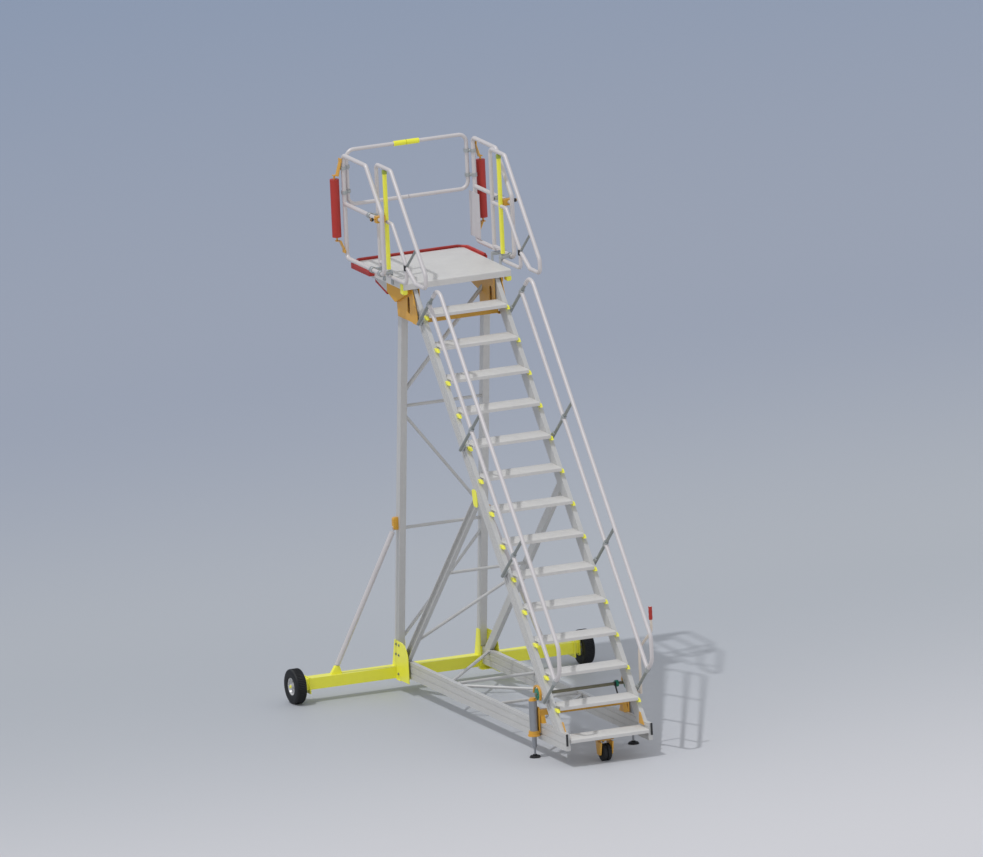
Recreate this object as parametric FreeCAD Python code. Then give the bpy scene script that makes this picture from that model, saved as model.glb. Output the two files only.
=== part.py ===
import FreeCAD, Part
import math
import os

# Aircraft maintenance platform: a wheeled stair with a guarded deck at its top.
# Millimetres. +X is to the right of a person who climbs the stair, +Y points at
# the aircraft and +Z is up. Everything is placed from the wheel axle (Y = 0, floor
# at Z = 0) and is moved at the end, so that the origin lies on the floor under the
# middle of the whole machine.

# ---------------------------------------------------------------- driving dimensions
# Stair
RISE = 250.0
GOING = 211.0
RISES = 15
TREAD_DEPTH = 225.0
TREAD_HEIGHT = 32.0
TREAD_WALL = 4.0
TREAD_NOSE_RADIUS = 9.0
TREAD_RIBS = 3
STAIR_CLEAR_HALF = 365.0
STRINGER_WIDTH = 40.0
STRINGER_DEPTH = 120.0
STRINGER_SETBACK = 70.0
GROOVE_WIDTH = 14.0
GROOVE_DEPTH = 4.0

# Deck
DECK_OVERHANG = 99.0
DECK_NEAR_Y = -810.0
DECK_LENGTH = 1060.0
DECK_THICKNESS = 60.0
DECK_PANEL = 5.0
DECK_FRAME = 45.0
DECK_NOSE_RADIUS = 14.0
DECK_JOISTS = 4
BUMPER_THICKNESS = 50.0
BUMPER_HEIGHT = 48.0
BUMPER_LEG = 420.0
BUMPER_CHAMFER = 70.0

# Undercarriage
WHEEL_RADIUS = 153.0
TYRE_WIDTH = 80.0
RIM_RADIUS = 76.0
TRACK_HALF = 1360.0
STUB_RADIUS = 14.0
RUNNING_CLEARANCE = 0.8
WHEEL_GAP = 73.0
BEAM_HEIGHT = 100.0
BEAM_DEPTH = 110.0
BEAM_BOTTOM = 115.0
FLANGE_SIZE = 142.0
FLANGE_THICKNESS = 12.0

# Masts, rails and struts
MAST_WIDTH = 60.0
MAST_DEPTH = 80.0
MAST_TOP_GAP = 91.72311
PLATE = 6.0
RAIL_WIDTH = 40.0
RAIL_HEIGHT = 150.0
RAIL_BOTTOM = 150.0
RAIL_INSET = 19.0
RAIL_CAP = 8.0
STRUT_DEPTH = 80.0
STRUT_START_Y = -205.0
STRUT_ANGLE = 44.8
BRACE_RADIUS = 14.0
MAST_BRACE_DROP = 1120.0
MAST_BRACE_RISE = 1250.0
STRUT_BRACE_DROP = 1176.0
STRUT_BRACE_GAP = 130.0
STRUT_BRACE_RISE = 290.0
OUTRIGGER_RADIUS = 23.0
OUTRIGGER_FOOT_X = 970.0
OUTRIGGER_TOP_Z = 1475.0
EYE_RADIUS = 21.0
EYE_THICKNESS = 12.0
EAR_GAP = 11.0
EAR_THICKNESS = 8.0
PIN_RADIUS = 7.0

# Mast heads
HEAD_DROP = 360.0
HEAD_FRONT_INSET = 410.0
HEAD_BEAM_OVERHANG = 35.0
HEAD_SLOT_INSET = 110.0
HEAD_SLOT_RISE = 90.0
HEAD_SLOT_LENGTH = 100.0
HEAD_SLOT_RADIUS = 26.0

# Stair handrails
HANDRAIL_OUT = 50.0
HANDRAIL_RADIUS = 17.0
HANDRAIL_TOP = 530.0
HANDRAIL_MID = 290.0
HANDRAIL_OVERRUN = 36.0
HANDRAIL_BEND = 85.0
HANDRAIL_LEG = 160.0
POST_RADIUS = 14.0
POST_FIRST = 385.0
POST_LAST = 415.0
POST_COUNT = 4
CLAMP_RADIUS = 21.0
CLAMP_LENGTH = 52.0
BUTT_GAP = 0.3

# Fixed deck guards and their yellow posts
GUARD_OUT = 31.0
GUARD_RADIUS = 18.0
INNER_HOOP_RADIUS = 16.0
GUARD_TOP = 985.0
GUARD_MID = 510.0
GUARD_LOW = 122.0
GUARD_END = 135.0
GUARD_KNEE_INSET = 80.0
YELLOW_POST_INSET = 240.0
GUARD_FRONT_INSET = 420.0
INNER_HOOP_BEND = 40.0
HOOK_RADIUS = 48.0
YELLOW_POST_SIZE = 40.0
GUIDE_LENGTH = 50.0
GUIDE_WALL = 9.0
SLIDE_CLEARANCE = 0.7

# Sliding guards, gates and rollers
SLIDER_GAP = 38.0
SLIDER_RADIUS = 19.0
SLIDER_BEND = 50.0
WELD_STEP = 0.5
SLIDER_FRONT_INSET = 80.0
SLIDER_REAR_INSET = 160.0
SLIDER_KNEE_INSET = 470.0
SLIDER_TOP = 970.0
SLIDER_SHOULDER = 600.0
SLIDER_MID = 540.0
SLIDER_LOW = 60.0
SLIDER_TRAVEL = 390.0
GATE_SIDE_GAP = 12.0
GATE_INSET = 45.0
GATE_RADIUS = 17.0
GATE_TOP = 1000.0
GATE_MID = 520.0
GATE_BEND = 70.0
GATE_GAP = 4.0
LATCH_LENGTH = 116.0
LATCH_RADIUS = 23.0
ROLLER_GAP = 16.0
ROLLER_INSET = 50.0
ROLLER_RADIUS = 40.0
ROLLER_BOTTOM = 250.0
ROLLER_LENGTH = 510.0
ROLLER_AXLE_RADIUS = 8.0

# Jacks and caster at the stair foot
JACK_GAP = 20.0
JACK_FROM_FOOT = 594.0
JACK_BOTTOM_Z = 190.0
JACK_TOP_Z = 500.0
JACK_RADIUS = 36.0
JACK_LEG_RADIUS = 20.0
JACK_FOOT_RADIUS = 50.0
JACK_FOOT_HEIGHT = 16.0
JACK_TRAVEL = 150.0
JACK_SADDLE_HEIGHT = 65.0
JACK_BEAM_HEIGHT = 48.0
JACK_BEAM_DEPTH = 50.0
GEAR_RADIUS = 36.0
GEAR_TEETH = 18
CASTER_FROM_FOOT = 164.0
CASTER_TRAIL = 32.0
CASTER_RADIUS = 75.0
CASTER_WIDTH = 32.0

# ---------------------------------------------------------------- derived places
DECK_TOP = RISE * RISES
DECK_UNDER = DECK_TOP - DECK_THICKNESS
DECK_FAR_Y = DECK_NEAR_Y + DECK_LENGTH
SLOPE = math.atan2(RISE, GOING)
SIN_SLOPE = math.sin(SLOPE)
COS_SLOPE = math.cos(SLOPE)
STAIR_LENGTH = math.hypot(RISE, GOING) * (RISES - 1)
STAIR_FOOT_Y = DECK_NEAR_Y - GOING * (RISES - 1)
LONG = 3 * DECK_TOP

BEAM_HALF_LENGTH = TRACK_HALF - TYRE_WIDTH / 2 - WHEEL_GAP - FLANGE_THICKNESS
BEAM_TOP = BEAM_BOTTOM + BEAM_HEIGHT
RAIL_TOP = RAIL_BOTTOM + RAIL_HEIGHT
RAIL_FRONT_Y = STAIR_FOOT_Y + RAIL_INSET
STRINGER_X = STAIR_CLEAR_HALF + STRINGER_WIDTH / 2
STRINGER_BACK = STRINGER_SETBACK + STRINGER_DEPTH
STRINGER_TOP_Y = DECK_NEAR_Y - DECK_THICKNESS * GOING / RISE + STRINGER_BACK / SIN_SLOPE
MAST_LEAN = -(STRINGER_TOP_Y + MAST_TOP_GAP) / DECK_UNDER
STRINGER_FACE = STRINGER_X + STRINGER_WIDTH / 2
DECK_HALF_WIDTH = STRINGER_FACE + DECK_OVERHANG
MAST_X = STRINGER_X
BUMPER_LEG_Y = DECK_FAR_Y - BUMPER_LEG
BUMPER_FACE_Y = DECK_FAR_Y + BUMPER_THICKNESS

HEAD_LOW_Z = DECK_TOP - HEAD_DROP
HEAD_FRONT_Y = DECK_FAR_Y - HEAD_FRONT_INSET
HEAD_BEAM_Y = DECK_NEAR_Y - HEAD_BEAM_OVERHANG
HEAD_SLOT_Y = DECK_NEAR_Y + HEAD_SLOT_INSET
HEAD_SLOT_Z = HEAD_LOW_Z + HEAD_SLOT_RISE

HANDRAIL_X = STRINGER_FACE + HANDRAIL_OUT
HANDRAIL_END_Y = STAIR_FOOT_Y - HANDRAIL_OVERRUN
HANDRAIL_FACE_Y = HANDRAIL_END_Y - HANDRAIL_RADIUS
POST_PITCH = (STAIR_LENGTH - POST_LAST - POST_FIRST) / (POST_COUNT - 1)

GUARD_X = DECK_HALF_WIDTH + GUARD_OUT
GUARD_TOP_Z = DECK_TOP + GUARD_TOP
GUARD_MID_Z = DECK_TOP + GUARD_MID
GUARD_LOW_Z = DECK_TOP + GUARD_LOW
GUARD_END_Z = DECK_TOP + GUARD_END
GUARD_KNEE_Y = DECK_NEAR_Y + GUARD_KNEE_INSET
YELLOW_POST_Y = DECK_NEAR_Y + YELLOW_POST_INSET
GUARD_FRONT_Y = DECK_NEAR_Y + GUARD_FRONT_INSET

SLIDER_X = GUARD_X + GUARD_RADIUS + SLIDER_GAP + SLIDER_RADIUS
SLIDER_FRONT_Y = DECK_FAR_Y - SLIDER_FRONT_INSET
SLIDER_REAR_Y = DECK_NEAR_Y + SLIDER_REAR_INSET
SLIDER_KNEE_Y = DECK_NEAR_Y + SLIDER_KNEE_INSET
SLIDER_TOP_Z = DECK_TOP + SLIDER_TOP
SLIDER_SHOULDER_Z = DECK_TOP + SLIDER_SHOULDER
SLIDER_MID_Z = DECK_TOP + SLIDER_MID
SLIDER_LOW_Z = DECK_TOP + SLIDER_LOW
SLIDE_BORE = SLIDER_RADIUS + SLIDE_CLEARANCE
GUIDE_REACH = SLIDE_BORE + GUIDE_WALL
GUARD_FOOT_Z = SLIDER_LOW_Z + GUIDE_REACH

GATE_X = SLIDER_X - SLIDER_RADIUS - GATE_SIDE_GAP - GATE_RADIUS
GATE_Y = DECK_FAR_Y - GATE_INSET
GATE_TOP_Z = DECK_TOP + GATE_TOP
GATE_MID_Z = DECK_TOP + GATE_MID
ROLLER_X = SLIDER_X + SLIDER_RADIUS + ROLLER_GAP + ROLLER_RADIUS
ROLLER_Y = DECK_FAR_Y - ROLLER_INSET
ROLLER_BOTTOM_Z = DECK_TOP + ROLLER_BOTTOM

JACK_X = STRINGER_X + RAIL_WIDTH / 2 + JACK_GAP + JACK_RADIUS
JACK_Y = STAIR_FOOT_Y + JACK_FROM_FOOT
JACK_BEAM_Z = RAIL_TOP + JACK_SADDLE_HEIGHT
CASTER_Y = STAIR_FOOT_Y + CASTER_FROM_FOOT
MIDDLE_Y = (BUMPER_FACE_Y + HANDRAIL_FACE_Y) / 2
SIDES = {"left": -1.0, "right": 1.0}


# ---------------------------------------------------------------- geometry helpers
def vec(x, y, z):
    return FreeCAD.Vector(x, y, z)


def block(x0, x1, y0, y1, z0, z1):
    """A box between two corners given in any order."""
    low = vec(min(x0, x1), min(y0, y1), min(z0, z1))
    return Part.makeBox(abs(x1 - x0), abs(y1 - y0), abs(z1 - z0), low)


def rod(start, end, radius):
    """A round bar between two points."""
    way = end.sub(start)
    return Part.makeCylinder(radius, way.Length, start, way)


def side_plate(outline, x0, x1):
    """A plate with its outline in the Y-Z plane and its thickness along X."""
    points = [vec(min(x0, x1), y, z) for y, z in outline]
    face = Part.Face(Part.makePolygon(points + [points[0]]))
    return face.extrude(vec(abs(x1 - x0), 0, 0))


def bent_tube(points, bend, radius):
    """A round tube along straight runs joined by tangent arcs of one bend radius."""
    edges = []
    start = points[0]
    for before, corner, after in zip(points, points[1:], points[2:]):
        into = before.sub(corner).normalize()
        out = after.sub(corner).normalize()
        half = into.getAngle(out) / 2
        setback = bend / math.tan(half)
        middle = into.add(out).normalize()
        first = corner.add(into.multiply(setback))
        last = corner.add(out.multiply(setback))
        top = corner.add(middle.multiply(bend / math.sin(half) - bend))
        edges.append(Part.LineSegment(start, first).toShape())
        edges.append(Part.Arc(first, top, last).toShape())
        start = last
    edges.append(Part.LineSegment(start, points[-1]).toShape())
    way = points[1].sub(points[0])
    ring = Part.Wire(Part.makeCircle(radius, points[0], way))
    return Part.Wire(edges).makePipeShell([ring], True, False)


def fused(shapes):
    """One solid from pieces that are welded or cast together."""
    return shapes[0].multiFuse(shapes[1:]).removeSplitter()


def both_sides(make):
    """Two like solids, one on each side of the machine."""
    return [make(side) for side in SIDES.values()]


def down_slope(along, above):
    """The Y and Z of a point measured down the stair's nose line and square off it."""
    y = DECK_NEAR_Y - along * COS_SLOPE - above * SIN_SLOPE
    z = DECK_TOP - along * SIN_SLOPE + above * COS_SLOPE
    return y, z


def slope_point(x, along, above):
    return vec(x, *down_slope(along, above))


def mast_y(z):
    """The Y of a mast's centre line at a height."""
    return -MAST_LEAN * z


# ---------------------------------------------------------------- undercarriage
def axle_beam():
    y = BEAM_DEPTH / 2
    beam = block(-BEAM_HALF_LENGTH, BEAM_HALF_LENGTH, -y, y, BEAM_BOTTOM, BEAM_TOP)
    pieces = [beam]
    for side in SIDES.values():
        inner = side * BEAM_HALF_LENGTH
        outer = side * (BEAM_HALF_LENGTH + FLANGE_THICKNESS)
        half = FLANGE_SIZE / 2
        pieces.append(block(inner, outer, -half, half, WHEEL_RADIUS - half, WHEEL_RADIUS + half))
        end = side * (TRACK_HALF + TYRE_WIDTH / 2 + 4)
        pieces.append(rod(vec(outer, 0, WHEEL_RADIUS), vec(end, 0, WHEEL_RADIUS), STUB_RADIUS))
    return fused(pieces)


def tyre(side):
    """A pneumatic tyre, turned from its cross-section about the stub axle."""
    half = TYRE_WIDTH / 2
    shoulder = WHEEL_RADIUS - 20
    outline = [(-half + 8, RIM_RADIUS), (-half, RIM_RADIUS + 22), (-half, shoulder - 12)]
    outline += [(-half + 6, shoulder + 8), (-half + 18, WHEEL_RADIUS)]
    outline += [(-x, r) for x, r in reversed(outline)]
    x = side * TRACK_HALF
    points = [vec(x + offset, 0, WHEEL_RADIUS + r) for offset, r in outline]
    face = Part.Face(Part.makePolygon(points + [points[0]]))
    return face.revolve(vec(x, 0, WHEEL_RADIUS), vec(1, 0, 0), 360)


def rim(side):
    """A rim with a dished disc, a hub and lightening holes."""
    x = side * TRACK_HALF
    half = TYRE_WIDTH / 2 - 9
    centre = vec(x, 0, WHEEL_RADIUS)
    axis = vec(1, 0, 0)
    start = vec(x - half, 0, WHEEL_RADIUS)
    barrel = Part.makeCylinder(RIM_RADIUS - 0.3, 2 * half, start, axis)
    for face in (-1, 1):
        deep = half - 12
        mouth = vec(x + face * half, 0, WHEEL_RADIUS)
        dish = Part.makeCone(RIM_RADIUS - 8, RIM_RADIUS - 16, deep, mouth, vec(-face, 0, 0))
        barrel = barrel.cut(dish)
    hub = Part.makeCylinder(26, 2 * half + 10, vec(x - half - 5, 0, WHEEL_RADIUS), axis)
    wheel = barrel.fuse(hub)
    for step in range(5):
        angle = math.radians(72 * step)
        spot = centre.add(vec(-half, 43 * math.cos(angle), 43 * math.sin(angle)))
        wheel = wheel.cut(Part.makeCylinder(9, 2 * half, spot, axis))
    ends = (vec(x - 100, 0, WHEEL_RADIUS), vec(x + 100, 0, WHEEL_RADIUS))
    return wheel.cut(rod(*ends, STUB_RADIUS + RUNNING_CLEARANCE))


# ---------------------------------------------------------------- masts and base
def mast(side):
    """A square tube that leans back over the stair, cut level at both ends."""
    x = side * MAST_X
    foot = vec(x, mast_y(0), 0)
    tip_z = DECK_TOP
    half = MAST_WIDTH / 2
    deep = MAST_DEPTH / 2 / math.cos(math.atan(MAST_LEAN))
    outline = [(foot.y - deep, 0), (foot.y + deep, 0)]
    outline += [(mast_y(tip_z) + deep, tip_z), (mast_y(tip_z) - deep, tip_z)]
    post = side_plate(outline, x - half, x + half)
    room = block(x - half, x + half, -LONG, LONG, BEAM_TOP, DECK_UNDER)
    return post.common(room)


def mast_shoe(side):
    """Cheek plates, a front web and a bottom flange that hold a mast on the beam."""
    x = side * MAST_X
    half = MAST_WIDTH / 2
    front = mast_y(RAIL_TOP) - MAST_DEPTH / 2 - PLATE
    web_y = front - PLATE
    deep = MAST_DEPTH / 2
    back = BEAM_DEPTH / 2
    low = RAIL_BOTTOM - 40
    tip = RAIL_TOP + 152
    outline = [(web_y, low), (-back, low), (-back, BEAM_TOP), (back - 12, BEAM_TOP)]
    outline += [(mast_y(tip) + deep, tip), (mast_y(tip) - deep + 8, tip), (web_y, RAIL_TOP + 20)]
    pieces = []
    for face in (-1, 1):
        near = x + face * half
        pieces.append(side_plate(outline, near, near + face * PLATE))
    pieces.append(block(x - half, x + half, web_y, front, low, RAIL_TOP))
    wide = half + 18
    pieces.append(block(x - wide, x + wide, web_y - 45, -back, low - PLATE, low))
    return fused(pieces)


def base_rail(side):
    """A tall grooved profile that runs from the mast foot to the stair foot."""
    x = side * STRINGER_X
    half = RAIL_WIDTH / 2
    back = mast_y(RAIL_TOP) - MAST_DEPTH / 2 - 2 * PLATE
    rail = block(x - half, x + half, RAIL_FRONT_Y, back, RAIL_BOTTOM, RAIL_TOP)
    for level in (0.3, 0.7):
        z = RAIL_BOTTOM + RAIL_HEIGHT * level
        for face in (-1, 1):
            wall = x + face * half
            rail = rail.cut(
                block(wall, wall - face * GROOVE_DEPTH, RAIL_FRONT_Y, back, z, z + GROOVE_WIDTH))
    return rail


def base_rail_cap(side):
    x = side * STRINGER_X
    half = RAIL_WIDTH / 2
    return block(x - half, x + half, RAIL_FRONT_Y - RAIL_CAP, RAIL_FRONT_Y, RAIL_BOTTOM, RAIL_TOP)


def between_sides(start, end, radius, inner_x):
    """A round brace cut flat on the faces of the members that it joins."""
    way = end.sub(start).normalize()
    longer = rod(start.sub(way * 80), end.add(way * 80), radius)
    return longer.common(block(-inner_x, inner_x, -LONG, LONG, -LONG, LONG))


def base_braces():
    """Cross and diagonal tubes of the base frame and of the back struts."""
    inner = STRINGER_X - RAIL_WIDTH / 2
    z = RAIL_TOP - 22
    spans = [(-235, -1140), (-1235, -1235), (-2080, -1330), (-2180, -2180), (-2280, -3020)]
    pieces = []
    for right_y, left_y in spans:
        start = vec(-inner, left_y, z)
        end = vec(inner, right_y, z)
        pieces.append(between_sides(start, end, BRACE_RADIUS, inner))
    high = strut_point(strut_length() - STRUT_BRACE_DROP)
    pieces.append(between_sides(vec(-inner, *high), vec(inner, *high), BRACE_RADIUS, inner))
    left = strut_point(STRUT_BRACE_RISE)
    right = strut_point(strut_length() - STRUT_BRACE_DROP - STRUT_BRACE_GAP)
    pieces.append(between_sides(vec(-inner, *left), vec(inner, *right), BRACE_RADIUS, inner))
    depth = 60
    y0 = CASTER_Y - depth
    y1 = CASTER_Y + depth
    under = RISE - TREAD_HEIGHT
    pieces.append(block(-inner, inner, y0, y1, under - 26, under))
    return Part.makeCompound(pieces)


def strut_point(along):
    """The Y and Z on a back strut's centre line, measured up from the base rail."""
    angle = math.radians(STRUT_ANGLE)
    return STRUT_START_Y - along * math.cos(angle), RAIL_TOP + along * math.sin(angle)


def strut_length():
    """How far a back strut runs before it meets the back face of its stringer."""
    y, z = strut_point(0)
    above = -(y - DECK_NEAR_Y) * SIN_SLOPE + (z - DECK_TOP) * COS_SLOPE
    angle = math.radians(STRUT_ANGLE)
    gain = math.cos(angle) * SIN_SLOPE + math.sin(angle) * COS_SLOPE
    return (-STRINGER_BACK - above) / gain


def slanted_bar(points, depth, x0, x1):
    """A flat-sided bar of one depth between two points in the Y-Z plane."""
    (y0, z0), (y1, z1) = points
    length = math.hypot(y1 - y0, z1 - z0)
    ny = -(z1 - z0) / length * depth / 2
    nz = (y1 - y0) / length * depth / 2
    outline = [(y0 + ny, z0 + nz), (y1 + ny, z1 + nz), (y1 - ny, z1 - nz), (y0 - ny, z0 - nz)]
    return side_plate(outline, x0, x1)


def back_strut(side):
    """A channel from the base rail up to the back of the stringer, open outwards."""
    x = side * STRINGER_X
    half = STRINGER_WIDTH / 2
    ends = [strut_point(-120), strut_point(strut_length() + 120)]
    strut = slanted_bar(ends, STRUT_DEPTH, x - half, x + half)
    outer = x + side * half
    strut = strut.cut(slanted_bar(ends, STRUT_DEPTH - 2 * 8, outer, outer - side * 26))
    top = -STRINGER_BACK
    corners = [(-LONG, top), (LONG, top), (LONG, -LONG), (-LONG, -LONG)]
    behind = side_plate([down_slope(*corner) for corner in corners], x - half, x + half)
    above = block(x - half, x + half, -LONG, LONG, RAIL_TOP, LONG)
    return strut.common(behind).common(above)


def mast_brace_point(side, z):
    return vec(side * (MAST_X - MAST_WIDTH / 2), mast_y(z), z)


def mast_braces():
    inner = MAST_X - MAST_WIDTH / 2
    pieces = []
    upper = DECK_UNDER - MAST_BRACE_DROP
    lower = BEAM_TOP + MAST_BRACE_RISE
    low = BEAM_TOP + 260
    spans = [(upper, upper), (lower, lower), (upper - 90, lower + 125), (low, lower - 125)]
    for left_z, right_z in spans:
        start = mast_brace_point(-1, left_z)
        end = mast_brace_point(1, right_z)
        pieces.append(between_sides(start, end, BRACE_RADIUS, inner))
    start = mast_brace_point(-1, upper + 150)
    end = mast_brace_point(1, DECK_UNDER - 130)
    long_brace = between_sides(start, end, BRACE_RADIUS + 4, inner)
    pieces.append(long_brace.common(block(-inner, inner - PLATE, -LONG, LONG, 0, LONG)))
    return Part.makeCompound(pieces)


def outrigger_ends(side):
    foot = vec(side * OUTRIGGER_FOOT_X, 0, BEAM_TOP + 42)
    top_x = side * (MAST_X + MAST_WIDTH / 2 + 34)
    return foot, vec(top_x, mast_y(OUTRIGGER_TOP_Z), OUTRIGGER_TOP_Z)


def outrigger_strut(side):
    """A round stay with a flat eye at each end."""
    foot, top = outrigger_ends(side)
    way = top.sub(foot).normalize()
    pieces = [rod(foot.add(way * 40), top.sub(way * 40), OUTRIGGER_RADIUS)]
    pieces.append(rod(foot, top, EYE_THICKNESS / 2))
    across = vec(0, EYE_THICKNESS / 2, 0)
    for end in (foot, top):
        pieces.append(rod(end.sub(across), end.add(across), EYE_RADIUS))
    strut = fused(pieces)
    for end in (foot, top):
        strut = strut.cut(rod(end.sub(across * 3), end.add(across * 3), PIN_RADIUS + 0.3))
    return strut


def outrigger_bracket(side, upper):
    """Two ears and a pin on a base plate, welded to the beam or to the mast."""
    foot, top = outrigger_ends(side)
    eye = top if upper else foot
    outer = EAR_GAP + EAR_THICKNESS
    across = vec(0, outer, 0)
    pieces = [rod(eye.sub(across), eye.add(across), PIN_RADIUS)]
    wall = side * (MAST_X + MAST_WIDTH / 2)
    if upper:
        plan = (wall, eye.x + side * EYE_RADIUS)
        height = (eye.z - EYE_RADIUS, eye.z + 100)
        base = block(wall, wall + side * 8, eye.y - outer, eye.y + outer, *height)
    else:
        plan = (eye.x - 45, eye.x + 45)
        height = (BEAM_TOP, eye.z + 12)
        base = block(*plan, eye.y - outer, eye.y + outer, BEAM_TOP, BEAM_TOP + 8)
    for face in (-1, 1):
        pieces.append(block(*plan, eye.y + face * EAR_GAP, eye.y + face * outer, *height))
    return fused(pieces + [base])


# ---------------------------------------------------------------- stair
def stringer(side):
    """A grooved side member of the stair, from the base rail to the deck."""
    x = side * STRINGER_X
    half = STRINGER_WIDTH / 2
    top = -STRINGER_SETBACK
    bottom = top - STRINGER_DEPTH
    corners = [(-LONG, top), (LONG, top), (LONG, bottom), (-LONG, bottom)]
    member = side_plate([down_slope(*corner) for corner in corners], x - half, x + half)
    outer = x + side * half
    for level in (0.28, 0.6):
        upper = top - STRINGER_DEPTH * level
        lower = upper - GROOVE_WIDTH
        corners = [(-LONG, upper), (LONG, upper), (LONG, lower), (-LONG, lower)]
        outline = [down_slope(*corner) for corner in corners]
        member = member.cut(side_plate(outline, outer, outer - side * GROOVE_DEPTH))
    return member.common(block(x - half, x + half, -LONG, LONG, RAIL_TOP, DECK_UNDER))


def tread_nose(number):
    """The Y and Z of a tread's nose, numbered down from the deck."""
    return DECK_NEAR_Y - GOING * number, DECK_TOP - RISE * number


def tread(number):
    """An extruded tread: a plate with a round nose, a back lip and ribs below."""
    y, z = tread_nose(number)
    half = STAIR_CLEAR_HALF
    body = block(-half, half, y, y + TREAD_DEPTH, z - TREAD_HEIGHT, z)
    inside = (TREAD_DEPTH - (TREAD_RIBS + 1) * TREAD_WALL) / TREAD_RIBS
    for cell in range(TREAD_RIBS):
        y0 = y + TREAD_WALL + cell * (inside + TREAD_WALL)
        body = body.cut(
            block(-half, half, y0, y0 + inside, z - TREAD_HEIGHT, z - TREAD_WALL))
    sharp = [edge for edge in body.Edges
             if abs(edge.BoundBox.YMax - y) < 0.01 and abs(edge.BoundBox.ZMin - z) < 0.01]
    return body.makeFillet(min(TREAD_NOSE_RADIUS, TREAD_HEIGHT / 3), sharp)


def tread_bracket(number, side):
    """A cast end bracket that carries a tread's nose in front of the stringer."""
    y, z = tread_nose(number)
    inner = side * STAIR_CLEAR_HALF
    outer = side * (STAIR_CLEAR_HALF + STRINGER_WIDTH - 4)
    face = STRINGER_SETBACK / SIN_SLOPE
    lean = GOING / RISE
    drop = TREAD_HEIGHT + 30
    outline = [(y + 6, z - 2), (y + face - 2 * lean, z - 2)]
    outline += [(y + face - drop * lean, z - drop), (y + 18, z - drop), (y + 6, z - drop + 20)]
    return side_plate(outline, inner, outer)


def strut_bracket(side):
    """A gusset over the joint of a back strut and its stringer."""
    along = strut_length()
    angle = math.radians(STRUT_ANGLE)
    y, z = strut_point(along)
    wall = side * (STRINGER_X + STRINGER_WIDTH / 2)
    reach = 100
    half = STRUT_DEPTH / 2 + 14
    ny, nz = math.sin(angle), math.cos(angle)
    uy, uz = -math.cos(angle), math.sin(angle)
    outline = [(y + uy * a * reach + ny * b * half, z + uz * a * reach + nz * b * half)
               for a, b in ((-0.9, -0.8), (0.5, -1.0), (0.5, 1.0), (-0.9, 0.8))]
    return side_plate(outline, wall, wall + side * PLATE)


# ---------------------------------------------------------------- deck
def deck():
    """A deck panel on an edge frame with joists below and a round near edge."""
    half = DECK_HALF_WIDTH
    body = block(-half, half, DECK_NEAR_Y, DECK_FAR_Y, DECK_UNDER, DECK_TOP)
    length = DECK_FAR_Y - DECK_NEAR_Y
    bay = (length - (DECK_JOISTS + 1) * DECK_FRAME) / DECK_JOISTS
    for number in range(DECK_JOISTS):
        y0 = DECK_NEAR_Y + DECK_FRAME + number * (bay + DECK_FRAME)
        body = body.cut(block(
            -half + DECK_FRAME, half - DECK_FRAME, y0, y0 + bay, DECK_UNDER, DECK_TOP - DECK_PANEL))
    sharp = [edge for edge in body.Edges
             if abs(edge.BoundBox.YMax - DECK_NEAR_Y) < 0.01
             and abs(edge.BoundBox.ZMin - DECK_TOP) < 0.01]
    return body.makeFillet(DECK_NOSE_RADIUS, sharp)


def deck_corner_bracket(side):
    wall = side * DECK_HALF_WIDTH
    y0 = DECK_NEAR_Y + 14
    top = DECK_TOP - 6
    low = DECK_UNDER - 50
    outline = [(y0, top), (y0 + 56, top), (y0 + 44, low), (y0, low)]
    return side_plate(outline, wall, wall + side * PLATE)


def arm_belly():
    """The sloping lower edge of a deck arm, from its deep end to its thin end."""
    return [(DECK_FAR_Y - 550, DECK_UNDER - 110), (DECK_FAR_Y - 300, DECK_UNDER - 45)]


def deck_arm(side):
    """A tapered cantilever arm that carries the deck past the mast."""
    inner = side * (MAST_X + MAST_WIDTH / 2 + PLATE)
    outer = inner + side * 30
    top = DECK_UNDER
    outline = [(DECK_FAR_Y - 10, top), (DECK_NEAR_Y + 60, top), (DECK_NEAR_Y + 60, top - 50)]
    outline += [(mast_y(top) + 50, top - 170), *arm_belly(), (DECK_FAR_Y - 10, top - 34)]
    return side_plate(outline, inner, outer)


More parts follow.
